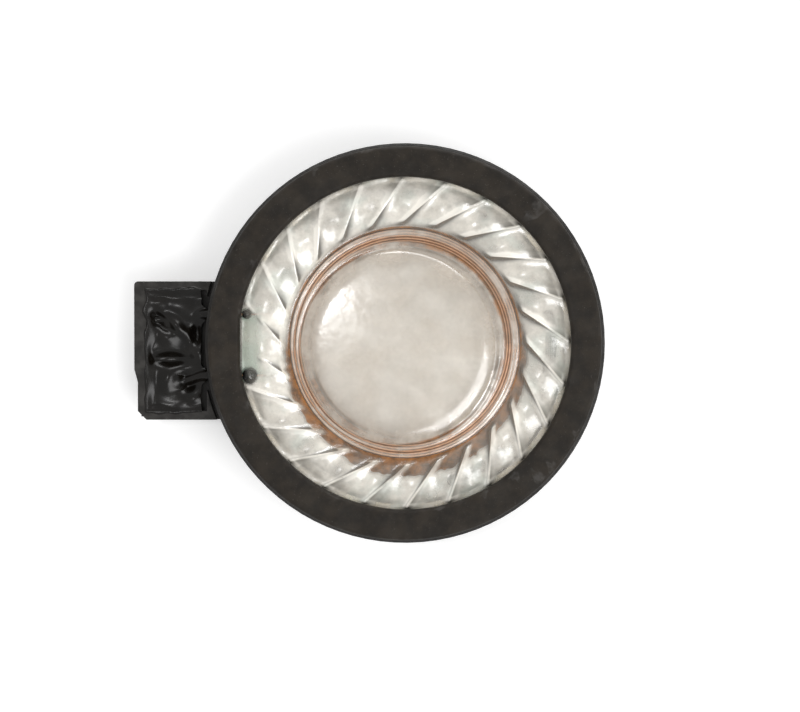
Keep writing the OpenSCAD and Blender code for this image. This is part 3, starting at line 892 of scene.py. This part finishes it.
@dataclass
class Diaphragm:
    """The ribbed film and the ring that carries it.

    Each fade softens the edge that it is named for.
    """

    coil: VoiceCoil = field(default_factory=VoiceCoil)
    coil_top: float = 2.85
    ring_top: float = 3.0
    film_t: float = 0.05
    dome_h: float = 0.4
    crown_h: float = 0.1
    crown_r: float = 3.1
    shoulder_w: float = 0.8
    foot_r: float = 4.66
    groove_ridges: int = 2
    ridge_h: float = 0.045
    ring_inner: float = 6.45
    ring_edge: float = 0.03
    land_r: float = 7.0
    edge_r: float = 7.35
    crown_steps: int = 10
    shoulder_steps: int = 14
    groove_steps: int = 24
    arch_steps: int = 26
    arch_h: float = 0.3
    ribs: int = 24
    rib_columns: int = 22
    rib_h: float = 0.19
    rib_gentle: float = 2.0
    rib_steep: float = 4.0
    rib_circle: float = 3.67
    soft_share: float = 0.33
    rib_turn: float = 11.6
    rib_start: float = 4.7
    rib_rise: Fade = Fade(0.0, 0.2)
    rib_end: float = 6.63
    rib_fall: Fade = Fade(-0.07, 0.0)
    flat_gap: float = 0.05
    calm_x: float = 5.6
    calm_y: float = -0.065
    calm_half: float = 1.235
    calm_start: Fade = Fade(0.0, 0.4)
    calm_sides: Fade = Fade(-0.2, 0.2)
    blend_start: float = 4.62
    blend_end: float = 6.45
    shift: tuple[float, float] = (-0.27, -0.16)
    dome_milk: float = 0.22
    shoulder_milk: float = 0.42
    groove_milk: float = 0.04
    # painted highlight: extra milk, so whiter film, on the crests of the groove's ridges
    ridge_painted_highlight_milk: float = 0.4
    groove_tint: float = 0.75
    surround_milk: float = 0.47
    milky_side: float = 140.0
    milk_drift: float = 0.1
    # painted highlight: extra milk, so whiter film, on the crests of the ribs
    crest_painted_highlight_milk: float = 0.6
    glued_milk: float = 0.55
    pad_milk: float = 0.2
    glue_x: float = 4.8
    glue_half: float = 1.5
    bead_spots: tuple[Point, ...] = ((-6.36, 1.17, 0.24), (-6.24, -1.3, 0.36))
    shoulder_fade: Fade = Fade(-0.7, -0.2)
    clear_fade: Fade = Fade(-0.06, 0.04)
    seam_fade: Fade = Fade(0.0, 0.06)
    ridge_fade: Fade = Fade(0.3, 0.8)
    bond_fade: Fade = Fade(-0.1, 0.12)
    crest_fade: Fade = Fade(0.45, 0.9)
    glued_start: Fade = Fade(0.0, 0.8)
    glued_sides: Fade = Fade(-0.3, 0.3)
    bead_fade: Fade = Fade(-0.05, 0.05)
    flank_fade: Fade = Fade(0.0, 0.14)
    dome_fade: Fade = Fade(-0.08, 0.0)
    tint_fade: Fade = Fade(-0.05, 0.02)
    groove_fade: Fade = Fade(-0.05, 0.2)

    @property
    def dome_r(self) -> float:
        """Radius at which the dome ends and the groove starts."""
        return self.crown_r + self.shoulder_w

    def arch_z(self, radius: float) -> float:
        """Gives the height of the surround without its ribs.

        Args:
            radius: Distance from the axis.

        Returns:
            The height of its rear face.
        """
        share = min(1.0, max(0.0, (radius - self.foot_r) / (self.ring_inner - self.foot_r)))
        rise = self.coil_top + (self.ring_top - self.coil_top) * share
        return rise + self.arch_h * math.sin(math.pi * share)

    def outline(self) -> Outline:
        """Gives the outline of the film's rear face.

        Returns:
            Its points as radius and height, from the middle to the edge.
        """
        points = []
        for i in range(self.crown_steps + 1):
            share = i / self.crown_steps
            height = self.coil_top + self.dome_h - self.crown_h * share * share
            points.append((self.crown_r * share, height))
        edge_fall = self.crown_h * (1 + self.shoulder_w / self.crown_r) ** 2
        for i in range(1, self.shoulder_steps + 1):
            angle = math.pi / 2 * i / self.shoulder_steps
            radius = self.crown_r + self.shoulder_w * math.sin(angle)
            fall = self.crown_h * (radius / self.crown_r) ** 2
            fall += (self.dome_h - edge_fall) * (1 - math.cos(angle))
            points.append((radius, self.coil_top + self.dome_h - fall))
        groove = self.foot_r - self.dome_r
        for i in range(1, self.groove_steps + 1):
            share = i / self.groove_steps
            ridge = self.ridge_h * (1 - math.cos(math.tau * self.groove_ridges * share)) / 2
            points.append((self.dome_r + groove * share, self.coil_top + ridge))
        arch = self.rib_end + self.flat_gap - self.foot_r
        for i in range(1, self.arch_steps + 1):
            radius = self.foot_r + arch * i / self.arch_steps
            points.append((radius, self.arch_z(radius)))
        return points + [(self.land_r, self.ring_top), (self.edge_r, self.ring_top)]

    def rib(self, place: Vector) -> Vector:
        """Turns a point along its rib's line and lifts it on the rib.

        Args:
            place: A point of the plain film, whose angle counts the ribs.

        Returns:
            Its place on the ribbed film.
        """
        radius = math.hypot(place.x, place.y)
        off_centre = 1 - smooth_step(radius, self.dome_r, self.foot_r)
        turn = math.atan2(place.y, place.x)
        lean = math.acos(self.rib_circle / max(radius, self.dome_r))
        angle = turn + math.radians(self.rib_turn) - lean
        x, y = radius * math.cos(angle), radius * math.sin(angle)
        softer = self.soft_share * max(0.0, math.cos(angle - math.radians(self.milky_side)))
        lift = self.rib_h * (1 - softer) * self.crest(turn, radius) * (1 - self.calm(x, y))
        return Vector((x + off_centre * self.shift[0], y + off_centre * self.shift[1],
                       place.z + lift))

    def crest(self, turn: float, radius: float) -> float:
        """Gives a rib's profile, which is steeper on one side.

        Args:
            turn: Angle of the point's column before it is turned along its rib.
            radius: Distance from the axis.

        Returns:
            A share of the rib's height.
        """
        count = turn / math.tau * self.ribs
        share = count - math.floor(count)
        power = self.rib_steep if share > 0.5 else self.rib_gentle
        height = abs(2 * share - 1) ** power * self.rib_rise.at(radius, self.rib_start)
        return height * (1 - self.rib_fall.at(radius, self.rib_end))

    def calm(self, x: float, y: float) -> float:
        """Gives the share to which the film lies flat on the pad of the leads."""
        beside = self.calm_sides.at(abs(y - self.calm_y), self.calm_half)
        return self.calm_start.at(-x, self.calm_x) * (1 - beside)

    def film(self) -> None:
        """Forms the film in one piece."""
        form = Form()
        form.revolve(self.outline(), self.ribs * self.rib_columns, closed=False)
        form.warp(self.rib)
        bm = form.bm
        if sum(f.normal.z for f in bm.faces) < 0:
            bmesh.ops.reverse_faces(bm, faces=bm.faces)
        bmesh.ops.translate(bm, vec=(0, 0, self.film_t), verts=bm.verts)
        bmesh.ops.solidify(bm, geom=bm.faces, thickness=self.film_t)
        bmesh.ops.recalc_face_normals(bm, faces=bm.faces)
        piece = form.piece("ribbed_film", FILM, None, ["film_dome", "film_surround"], crease=70.0)
        self.paint(piece)
        self.bend(piece)

    def paint(self, piece: bpy.types.Object) -> None:
        """Maps where the film is milky, where its ribs are steep, for the painted shade and the
        haze on their flanks, and where its dome is.

        Args:
            piece: The film.
        """
        maps = {MILK_MAP: [], FLANK_MAP: [], DOME_MAP: []}
        for vert in piece.data.vertices:
            x, y, z = vert.co / MM
            radius = math.hypot(x, y)
            inner = math.hypot(x - self.shift[0], y - self.shift[1])
            steep = 1 - abs(vert.normal.z)
            beyond_dome = min(self.dome_fade.at(inner, self.dome_r),
                              self.tint_fade.at(radius, self.coil.seam_r))
            glue_r = self.coil.bond_reach(math.atan2(y, x))
            groove = self.groove_tint * (1 - self.groove_fade.at(radius, glue_r))
            maps[MILK_MAP].append(self.milk(x, y, z))
            # the steeper the rib flanks, the more painted shade and haze they get
            maps[FLANK_MAP].append(steep * self.flank_fade.at(inner, self.foot_r))
            maps[DOME_MAP].append(max(1 - beyond_dome, groove))
        for name, values in maps.items():
            piece.data.attributes.new(name, "FLOAT", "POINT").data.foreach_set("value", values)

    def milk(self, x: float, y: float, z: float) -> float:
        """Gives how milky the film is at a point, with the crests of the groove's ridges and of
        the ribs made milkier, so whiter, as a painted highlight.

        Args:
            x: Place along X.
            y: Place along Y.
            z: Height.

        Returns:
            The milkiness of one face, from 0 to about 1.
        """
        radius = math.hypot(x, y)
        angle = math.atan2(y, x)
        inner = math.hypot(x - self.shift[0], y - self.shift[1])
        amount = self.dome_milk
        amount += (self.shoulder_milk - amount) * self.shoulder_fade.at(inner, self.dome_r)
        clear = self.clear_fade.at(inner, self.dome_r)
        clear *= self.seam_fade.at(radius, self.coil.seam_r)
        amount += (self.groove_milk - amount) * clear
        if self.dome_r < inner and radius < self.foot_r:
            ridge = (z - self.coil_top - self.film_t) / self.ridge_h
            # painted highlight: whiter film on the groove's ridge crests
            amount += self.ridge_painted_highlight_milk * self.ridge_fade.at(ridge) * clear
        side = math.cos(angle - math.radians(self.milky_side))
        milky = self.surround_milk + self.milk_drift * side
        amount += (milky - amount) * self.bond_fade.at(radius, self.coil.bond_reach(angle))
        rib = (z - self.arch_z(radius)) / self.rib_h if radius > self.rib_start else 0.0
        # painted highlight: whiter film on the rib crests
        amount += self.crest_painted_highlight_milk * self.crest_fade.at(rib)
        glued = self.glued_start.at(-x, self.glue_x)
        glued *= 1 - self.glued_sides.at(abs(y - self.calm_y), self.glue_half)
        amount += (self.glued_milk - amount) * glued
        amount += (self.pad_milk - amount) * self.calm(x, y)
        for bead_x, bead_y, bead_r in self.bead_spots:
            amount *= self.bead_fade.at(math.hypot(x - bead_x, y - bead_y), bead_r)
        return amount

    def bend(self, piece: bpy.types.Object) -> None:
        """Bakes the film's placement into its mesh.

        Args:
            piece: The film.
        """
        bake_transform(piece)

    def build(self) -> None:
        """Makes the film and its ring."""
        self.film()
        Form.of_node("film_ring").piece("carrier_ring", BRASS, replaces=["film_ring"],
                                        ease=self.ring_edge)


@dataclass
class FrontSeal:
    """The rubber gasket and the tape under it."""

    inner_r: float = 6.635
    outer_r: float = 7.85
    bottom: float = 3.1
    top: float = 3.6
    rounding: float = 0.16
    foot: float = 0.02
    ridge: float = 0.25
    steps: int = 360
    arc_steps: int = 6
    chord_x: float = -6.57
    unevenness: float = 0.012
    wave_scale: float = 0.9
    wave_fade: Fade = Fade(3.3, 3.6)

    def outline(self) -> Outline:
        """Gives the gasket's section.

        Returns:
            Its points as radius and height.
        """
        r, top, low = self.rounding, self.top, self.bottom + self.foot
        middle = (self.inner_r + self.outer_r) / 2
        points = [(self.inner_r + self.foot, self.bottom), (self.outer_r - self.foot, self.bottom),
                  (self.outer_r, low)]
        points += arc_points((self.outer_r - r, top - r), r, 0, 90, self.arc_steps)
        points += [(middle + self.ridge, top), (middle, top), (middle - self.ridge, top)]
        points += arc_points((self.inner_r + r, top - r), r, 90, 180, self.arc_steps)
        return points + [(self.inner_r, low)]

    def moulded(self, place: Vector) -> Vector:
        """Straightens the inner edge over the leads and adds unevenness.

        Args:
            place: A point of the even ring.

        Returns:
            Its place on the gasket.
        """
        r, radius = self.rounding, math.hypot(place.x, place.y)
        shift = 0.0
        if place.x < 0 and abs(place.y) < self.inner_r:
            shift = max(0.0, self.chord_x + math.sqrt(self.inner_r ** 2 - place.y ** 2))
        shift *= 1 - smooth_step(radius, self.inner_r + r, self.inner_r + 3 * r)
        wave = noise.noise(place * self.wave_scale) * self.unevenness * self.wave_fade.at(place.z)
        return Vector((place.x + shift, place.y, min(place.z + wave - self.unevenness, self.top)))

    def gasket(self) -> None:
        """Forms the gasket."""
        form = Form()
        form.revolve(self.outline(), self.steps)
        form.warp(self.moulded)
        form.piece("rubber_gasket", RUBBER, replaces=["front_gasket"], crease=50.0)

    def build(self) -> None:
        """Makes the gasket and dresses the tape."""
        self.gasket()
        dress("gasket_tape", TAPE)


@dataclass
class Leads:
    """The two lead wires, the pad that they cross and the glue that holds them."""

    wire_d: float = 0.1
    wire_sides: int = 12
    wire_steps: int = 90
    coil_r: float = 4.6
    coil_gap: float = 0.02
    out_z: float = 2.7
    level_x: float = 4.85
    down_x: float = 6.3
    channel_z: float = 2.475
    body_r: float = 7.6
    bend_x: float = 8.12
    joint_x: float = 9.165
    joint_z: float = 2.04
    places: dict[str, tuple[float, float]] = field(
        default_factory=lambda: {"upper": (1.17, 0.95), "lower": (-1.3, -1.55)})
    beads: dict[str, tuple[float, float]] = field(
        default_factory=lambda: {"upper": (0.21, 0.34), "lower": (0.33, 0.4)})
    bead_unevenness: float = 0.1
    bead_scale: float = 1.7
    bead_slice: float = 30.0
    pad_top: float = 2.38
    pocket_x: float = 6.6
    pocket_gap: float = 0.03

    def route(self, x: float, side: str) -> Vector:
        """Gives a point of a lead's route.

        Args:
            x: Distance from the speaker's middle towards the tab.
            side: Which lead, upper or lower.

        Returns:
            The point.
        """
        lead_y, contact_y = self.places[side]
        y = lead_y + (contact_y - lead_y) * smooth_step(x, self.bend_x, self.joint_x)
        z = self.out_z + (self.channel_z - self.out_z) * smooth_step(x, self.level_x, self.down_x)
        z += (self.joint_z - self.channel_z) * smooth_step(x, self.body_r, self.joint_x)
        return Vector((-x, y, z))

    def wire(self, side: str) -> None:
        """Draws one lead.

        Args:
            side: Which lead, upper or lower.
        """
        beside = abs(self.places[side][0]) - self.wire_d / 2
        start = math.sqrt(self.coil_r ** 2 - beside ** 2) + self.coil_gap
        form = Form()
        bm = form.bm
        ring = bmesh.ops.create_circle(bm, cap_ends=True, radius=self.wire_d / 2,
                                       segments=self.wire_sides)["verts"]
        turn = Matrix.Rotation(-math.pi / 2, 4, "Y")
        out = Matrix.Translation(self.route(start, side))
        bmesh.ops.transform(bm, matrix=out @ turn, verts=ring)
        face = ring[0].link_faces[0]
        step = (self.joint_x - start) / self.wire_steps
        for i in range(self.wire_steps):
            made = bmesh.ops.extrude_face_region(bm, geom=[face])["geom"]
            face = next(g for g in made if isinstance(g, bmesh.types.BMFace))
            shift = self.route(start + step * (i + 1), side) - self.route(start + step * i, side)
            bmesh.ops.translate(bm, vec=shift, verts=face.verts)
        bmesh.ops.recalc_face_normals(bm, faces=bm.faces)
        piece = form.piece("lead_" + side, COPPER, None, ["lead_wire_" + side], crease=60.0)
        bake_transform(piece)

    def bead(self, side: str) -> None:
        """Drops one bead of glue on its lead.

        Args:
            side: Which bead, upper or lower.
        """
        radius, height = self.beads[side]
        form = Form()
        bm = form.bm
        bmesh.ops.create_icosphere(bm, subdivisions=5, radius=1.0)
        bmesh.ops.bisect_plane(bm, geom=bm.verts[:] + bm.edges[:] + bm.faces[:],
                               plane_co=(0, 0, 0), plane_no=(0, 0, -1), clear_outer=True)
        form.fill_holes()
        middle_x = -self.pocket_x + self.pocket_gap + radius
        centre = Vector((middle_x, self.places[side][0], self.pad_top))
        uneven = Waver(1.0, self.bead_unevenness, self.bead_scale,
                       (0.0, 0.0, radius * self.bead_slice))

        def dropped(place: Vector) -> Vector:
            """Gives the bead its size, place and uneven outline."""
            flat = Vector((place.x * radius, place.y * radius, place.z * height))
            return centre + flat * min(uneven.at(place), 1.0)

        form.warp(dropped)
        form.piece("glue_bead_" + side, GLUE, replaces=["lead_bead_" + side], crease=60.0)

    def build(self) -> None:
        """Makes the leads and their beads and dresses the pad."""
        dress("lead_pad", PAD)
        for side in SIDES:
            self.wire(side)
            self.bead(side)


@dataclass(frozen=True)
class Stroke:
    """One stroke that shapes the soft top of the potting."""

    x: float
    y: float
    along: float
    across: float
    turn: float
    rise: float
    softness: float = 1.15

    def lift(self, place: Vector) -> float:
        """Gives how far the stroke lifts a point.

        Args:
            place: The point.

        Returns:
            The lift, below 0 for a hollow.
        """
        angle = math.radians(self.turn)
        dx, dy = place.x - self.x, place.y - self.y
        u = (dx * math.cos(angle) + dy * math.sin(angle)) / self.along
        v = (dy * math.cos(angle) - dx * math.sin(angle)) / self.across
        return self.rise * math.exp(-(u * u + v * v) ** self.softness)


@dataclass
class Terminals:
    """The terminal board with its contacts, solder and potting."""

    leads: Leads = field(default_factory=Leads)
    tray_left: float = -10.44
    tray_y: tuple[float, float] = (-2.745, 2.145)
    board_end: float = -8.31
    board_top: float = 1.8
    board_edge: float = 0.02
    ledge_z: float = 1.88
    wall_top: float = 2.3
    smear_t: float = 0.035
    smear_sink: float = 0.01
    smear_fade: Fade = Fade(-0.08, 0.0)
    overrun: float = 0.22
    reached: Waver = Waver(0.55, 0.7, 1.9, (3.0, 8.0, 0.0))
    drawn: Waver = Waver(0.36, 0.36, 1.2, (9.0, 2.0, 0.0))
    wall_lap: float = 0.05
    split_y: float = -0.56
    pour_end: float = -8.24
    pour_edge: Waver = Waver(0.0, 0.05, 1.6)
    rim_x: float = -7.93
    tongue_w: float = 0.3
    sleeve_t: float = 0.24
    sleeve_fall: float = 2.2
    sleeve_fade: Fade = Fade(0.02, 0.16)
    grid_step: float = 0.035
    level: float = 2.2
    ripple: Waver = Waver(0.0, 0.07, 1.4)
    valley: float = 0.06
    least_t: float = 0.06
    closing_t: float = 0.02
    solder_spots: tuple[tuple[float, float], ...] = ((-9.4, 0.95), (-9.4, -1.55))
    cap_r: float = 0.62
    cap_z: float = 1.9
    cap_rise: float = 0.38
    wire_cover: float = 0.08
    wire_fall: float = 4.4
    strokes: tuple[Stroke, ...] = (
        Stroke(-9.98, 1.62, 0.38, 0.24, 0.0, 0.12),
        Stroke(-9.1, 1.5, 0.66, 0.44, 0.0, 0.1),
        Stroke(-9.27, 0.72, 0.6, 0.22, -40.0, 0.22),
        Stroke(-9.88, 0.88, 0.52, 0.22, -38.0, -0.34),
        Stroke(-8.42, 0.3, 0.2, 0.4, 0.0, -0.34),
        Stroke(-9.64, 0.26, 0.34, 0.28, 0.0, 0.12),
        Stroke(-9.5, -0.66, 0.7, 0.25, 0.0, -0.36),
        Stroke(-8.38, -0.36, 0.28, 0.46, 10.0, 0.2),
        Stroke(-9.56, -1.46, 0.36, 0.42, 0.0, 0.13),
        Stroke(-8.86, -1.6, 0.42, 0.34, 0.0, -0.38),
        Stroke(-8.56, -2.2, 0.34, 0.3, 0.0, 0.13),
        Stroke(-9.3, -2.45, 0.9, 0.28, 0.0, 0.06),
    )

    def blend_up(self, low: float, high: float) -> float:
        """Gives the higher of two heights, with a soft valley where they meet."""
        return (low + high + math.hypot(low - high, self.valley)) / 2

    def top(self, x: float, y: float) -> float:
        """Gives the height of the potting's free face.

        Args:
            x: Place along X.
            y: Place along Y.

        Returns:
            The height, which covers the solder, the leads and the walls' inner edges.
        """
        place = Vector((x, y, 0.0))
        z = self.level + sum(stroke.lift(place) for stroke in self.strokes)
        z = self.blend_up(z + self.ripple.at(place), self.board_top + self.least_t)
        for spot_x, spot_y in self.solder_spots:
            share = 1 - ((x - spot_x) ** 2 + (y - spot_y) ** 2) / self.cap_r ** 2
            z = self.blend_up(z, self.cap_z + self.cap_rise * share)
        for side in self.leads.places:
            wire = self.leads.route(-x, side)
            z = self.blend_up(z, wire.z + self.wire_cover - self.wire_fall * (y - wire.y) ** 2)
        inside = min(x - self.tray_left, y - self.tray_y[0], self.tray_y[1] - y)
        beyond = self.smear_fade.at(-inside, self.overrun * self.reached.at(place))
        smear = self.wall_top + self.smear_t * (1 - 2 * beyond)
        return smear + (z - smear) * smooth_step(inside, -self.wall_lap, self.drawn.at(place))

    def underside(self, x: float, y: float) -> float:
        """Gives the height of the potting's lower face.

        Args:
            x: Place along X.
            y: Place along Y.

        Returns:
            The height of what it lies on, or of the sleeve round a lead beyond the pour's end.
        """
        if x > self.board_end:
            wires = (self.leads.route(-x, side) for side in self.leads.places)
            hung = min(wire.z - self.sleeve_t + self.sleeve_fall * (y - wire.y) ** 2
                       for wire in wires)
            freed = self.sleeve_fade.at(x, self.pour_end)
            return self.ledge_z + max(hung - self.ledge_z, 0.0) * freed
        in_tray = x > self.tray_left and self.tray_y[0] < y < self.tray_y[1]
        return self.board_top if in_tray else self.wall_top - self.smear_t - self.smear_sink

    def end(self, y: float) -> float:
        """Gives where the potting ends towards the rim, which its tongues over the leads reach.

        Args:
            y: Place along Y.

        Returns:
            The place of the end along X.
        """
        free = self.pour_end + self.pour_edge.at(Vector((0.0, y, 0.0)))
        reach = max(math.exp(-((y - lead_y) / self.tongue_w) ** 4)
                    for lead_y, _ in self.leads.places.values())
        return free + (self.rim_x - free) * reach

    def potting(self, side: str) -> None:
        """Pours the potting over one joint.

        Args:
            side: Which joint, upper or lower.
        """
        left = self.tray_left - self.overrun
        low, high = self.tray_y[0] - self.overrun, self.tray_y[1] + self.overrun
        low, high = (self.split_y, high) if side == "upper" else (low, self.split_y)
        form = Form()
        bm = form.bm
        bmesh.ops.create_grid(bm, x_segments=round((self.pour_end - left) / self.grid_step),
                              y_segments=round((high - low) / self.grid_step), size=1.0)

        def laid(place: Vector) -> Vector:
            """Lays the grid out over the tray."""
            y = low + (high - low) * (place.y + 1) / 2
            return Vector((left + (self.end(y) - left) * (place.x + 1) / 2, y, 0.0))

        form.warp(laid)
        made = bmesh.ops.extrude_face_region(bm, geom=bm.faces[:], use_keep_orig=True)["geom"]
        tops = {g for g in made if isinstance(g, bmesh.types.BMVert)}
        for vert in bm.verts:
            x, y, _ = vert.co
            z = self.top(x, y)
            vert.co.z = z if vert in tops else min(self.underside(x, y), z - self.closing_t)
        bmesh.ops.recalc_face_normals(bm, faces=bm.faces)
        form.piece("poured_" + side, POTTING, replaces=["potting_" + side], crease=60.0)

    def build(self) -> None:
        """Makes the board and the potting and dresses what it covers."""
        Form.of_node("terminal_board").piece("tab_board", BOARD, replaces=["terminal_board"],
                                             ease=self.board_edge)
        for side in SIDES:
            self.potting(side)
            dress("contact_" + side, GOLD)
            dress("solder_" + side, SOLDER)


@dataclass(frozen=True)
class Lamp:
    """One soft box."""

    name: str
    direction: Point
    distance: float
    width: float
    depth: float
    power: float


@dataclass
class Studio:
    """The pale floor, the soft light and the camera."""

    image_w: int = 800
    image_h: int = 712
    lens: float = 100.0
    sensor: float = 36.0
    px_per_mm: float = 25.06
    middle_px: tuple[float, float] = (404.6, 343.4)
    middle_z: float = 3.2
    tilt: float = 1.5
    tilt_towards: float = 45.0
    farthest: float = 10000.0
    floor_size: float = 4000.0
    floor_gap: float = 0.02
    floor_shade: float = 0.93
    floor_roughness: float = 0.9
    floor_specular: float = 0.1
    floor_glow: float = 0.28
    horizon: float = 0.62
    overhead: float = 0.63
    lamps: tuple[Lamp, ...] = (
        Lamp("upper left box", (-0.205, 0.095, 1.0), 300.0, 22.0, 22.0, 0.062),
        Lamp("upper strip", (0.25, 1.0, 0.32), 300.0, 300.0, 100.0, 0.42),
        Lamp("lower right box", (0.5, -0.42, 1.0), 300.0, 190.0, 130.0, 0.36),
    )

    def floor(self) -> None:
        """Lays a large pale floor under the speaker."""
        form = Form()
        bmesh.ops.create_grid(form.bm, x_segments=1, y_segments=1, size=self.floor_size / 2)
        bmesh.ops.translate(form.bm, vec=(0, 0, -self.floor_gap), verts=form.bm.verts)
        obj = form.show("floor")
        material = bpy.data.materials.new("floor")
        material.use_nodes = True
        graph = Graph(material.node_tree)
        rays = graph.add("LightPath").outputs
        seen = graph.maths("MAXIMUM", rays["Is Camera Ray"], rays["Is Glossy Ray"])
        seen = graph.maths("MAXIMUM", seen, rays["Is Transmission Ray"])
        graph.feed(material.node_tree.nodes["Principled BSDF"], {
            "Base Color": (self.floor_shade,) * 3, "Roughness": self.floor_roughness,
            "Specular IOR Level": self.floor_specular, "Emission Color": (1.0, 1.0, 1.0),
            "Emission Strength": graph.maths("MULTIPLY", seen, self.floor_glow)})
        obj.data.materials.append(material)

    def world(self) -> None:
        """Makes the surroundings an even pale grey, a touch lighter overhead."""
        world = bpy.data.worlds.new("studio")
        bpy.context.scene.world = world
        world.use_nodes = True
        graph = Graph(world.node_tree)
        direction = graph.add("TexCoord").outputs["Generated"]
        height = graph.add("SeparateXYZ", {0: direction}).outputs["Z"]
        share = graph.ramp(height, low=0.05, high=0.75)
        sky = graph.mix(share, (self.horizon,) * 3, (self.overhead,) * 3)
        graph.feed(world.node_tree.nodes["Background"], {"Color": sky, "Strength": 1.0})

    def light(self) -> None:
        """Hangs the soft boxes, each facing the speaker."""
        for lamp in self.lamps:
            data = bpy.data.lights.new(lamp.name, "AREA")
            data.shape = "RECTANGLE"
            data.size = lamp.width * MM
            data.size_y = lamp.depth * MM
            data.energy = lamp.power
            obj = stand(lamp.name, data)
            towards = Vector(lamp.direction).normalized()
            obj.location = towards * lamp.distance * MM
            obj.rotation_mode = "QUATERNION"
            obj.rotation_quaternion = towards.to_track_quat("Z", "Y")

    def camera(self) -> None:
        """Places the camera so that the speaker's middle falls where the photograph has it."""
        data = bpy.data.cameras.new("camera")
        data.lens = self.lens
        data.sensor_width = self.sensor
        data.clip_start = MM
        data.clip_end = self.farthest * MM
        obj = stand("camera", data)
        distance = self.image_w / self.px_per_mm * self.lens / self.sensor
        tilt, towards = math.radians(self.tilt), math.radians(self.tilt_towards)
        back = Vector((math.sin(tilt) * math.cos(towards), math.sin(tilt) * math.sin(towards),
                       math.cos(tilt)))
        up = back.cross(Vector((1, 0, 0))).normalized()
        right = up.cross(back)
        aside = (self.middle_px[0] - self.image_w / 2) / self.px_per_mm
        above = (self.image_h / 2 - self.middle_px[1]) / self.px_per_mm
        aim = Vector((0, 0, self.middle_z)) - right * aside - up * above
        obj.location = (aim + back * distance) * MM
        obj.rotation_mode = "QUATERNION"
        obj.rotation_quaternion = Matrix((right, up, back)).transposed().to_quaternion()
        bpy.context.scene.camera = obj

    def build(self) -> None:
        """Sets the stage."""
        self.floor()
        self.world()
        self.light()
        self.camera()
        bpy.context.scene.view_settings.view_transform = "Standard"


def main() -> None:
    """Builds the speaker and its stage in order."""
    logging.basicConfig(level=logging.INFO, format="%(message)s")
    for part in (Studio(), Housing(), MagnetSystem(), VoiceCoil(), Diaphragm(), FrontSeal(),
                 Leads(), Terminals()):
        part.build()
        LOG.info("%s done", type(part).__name__)


if __name__ == "__main__":
    main()
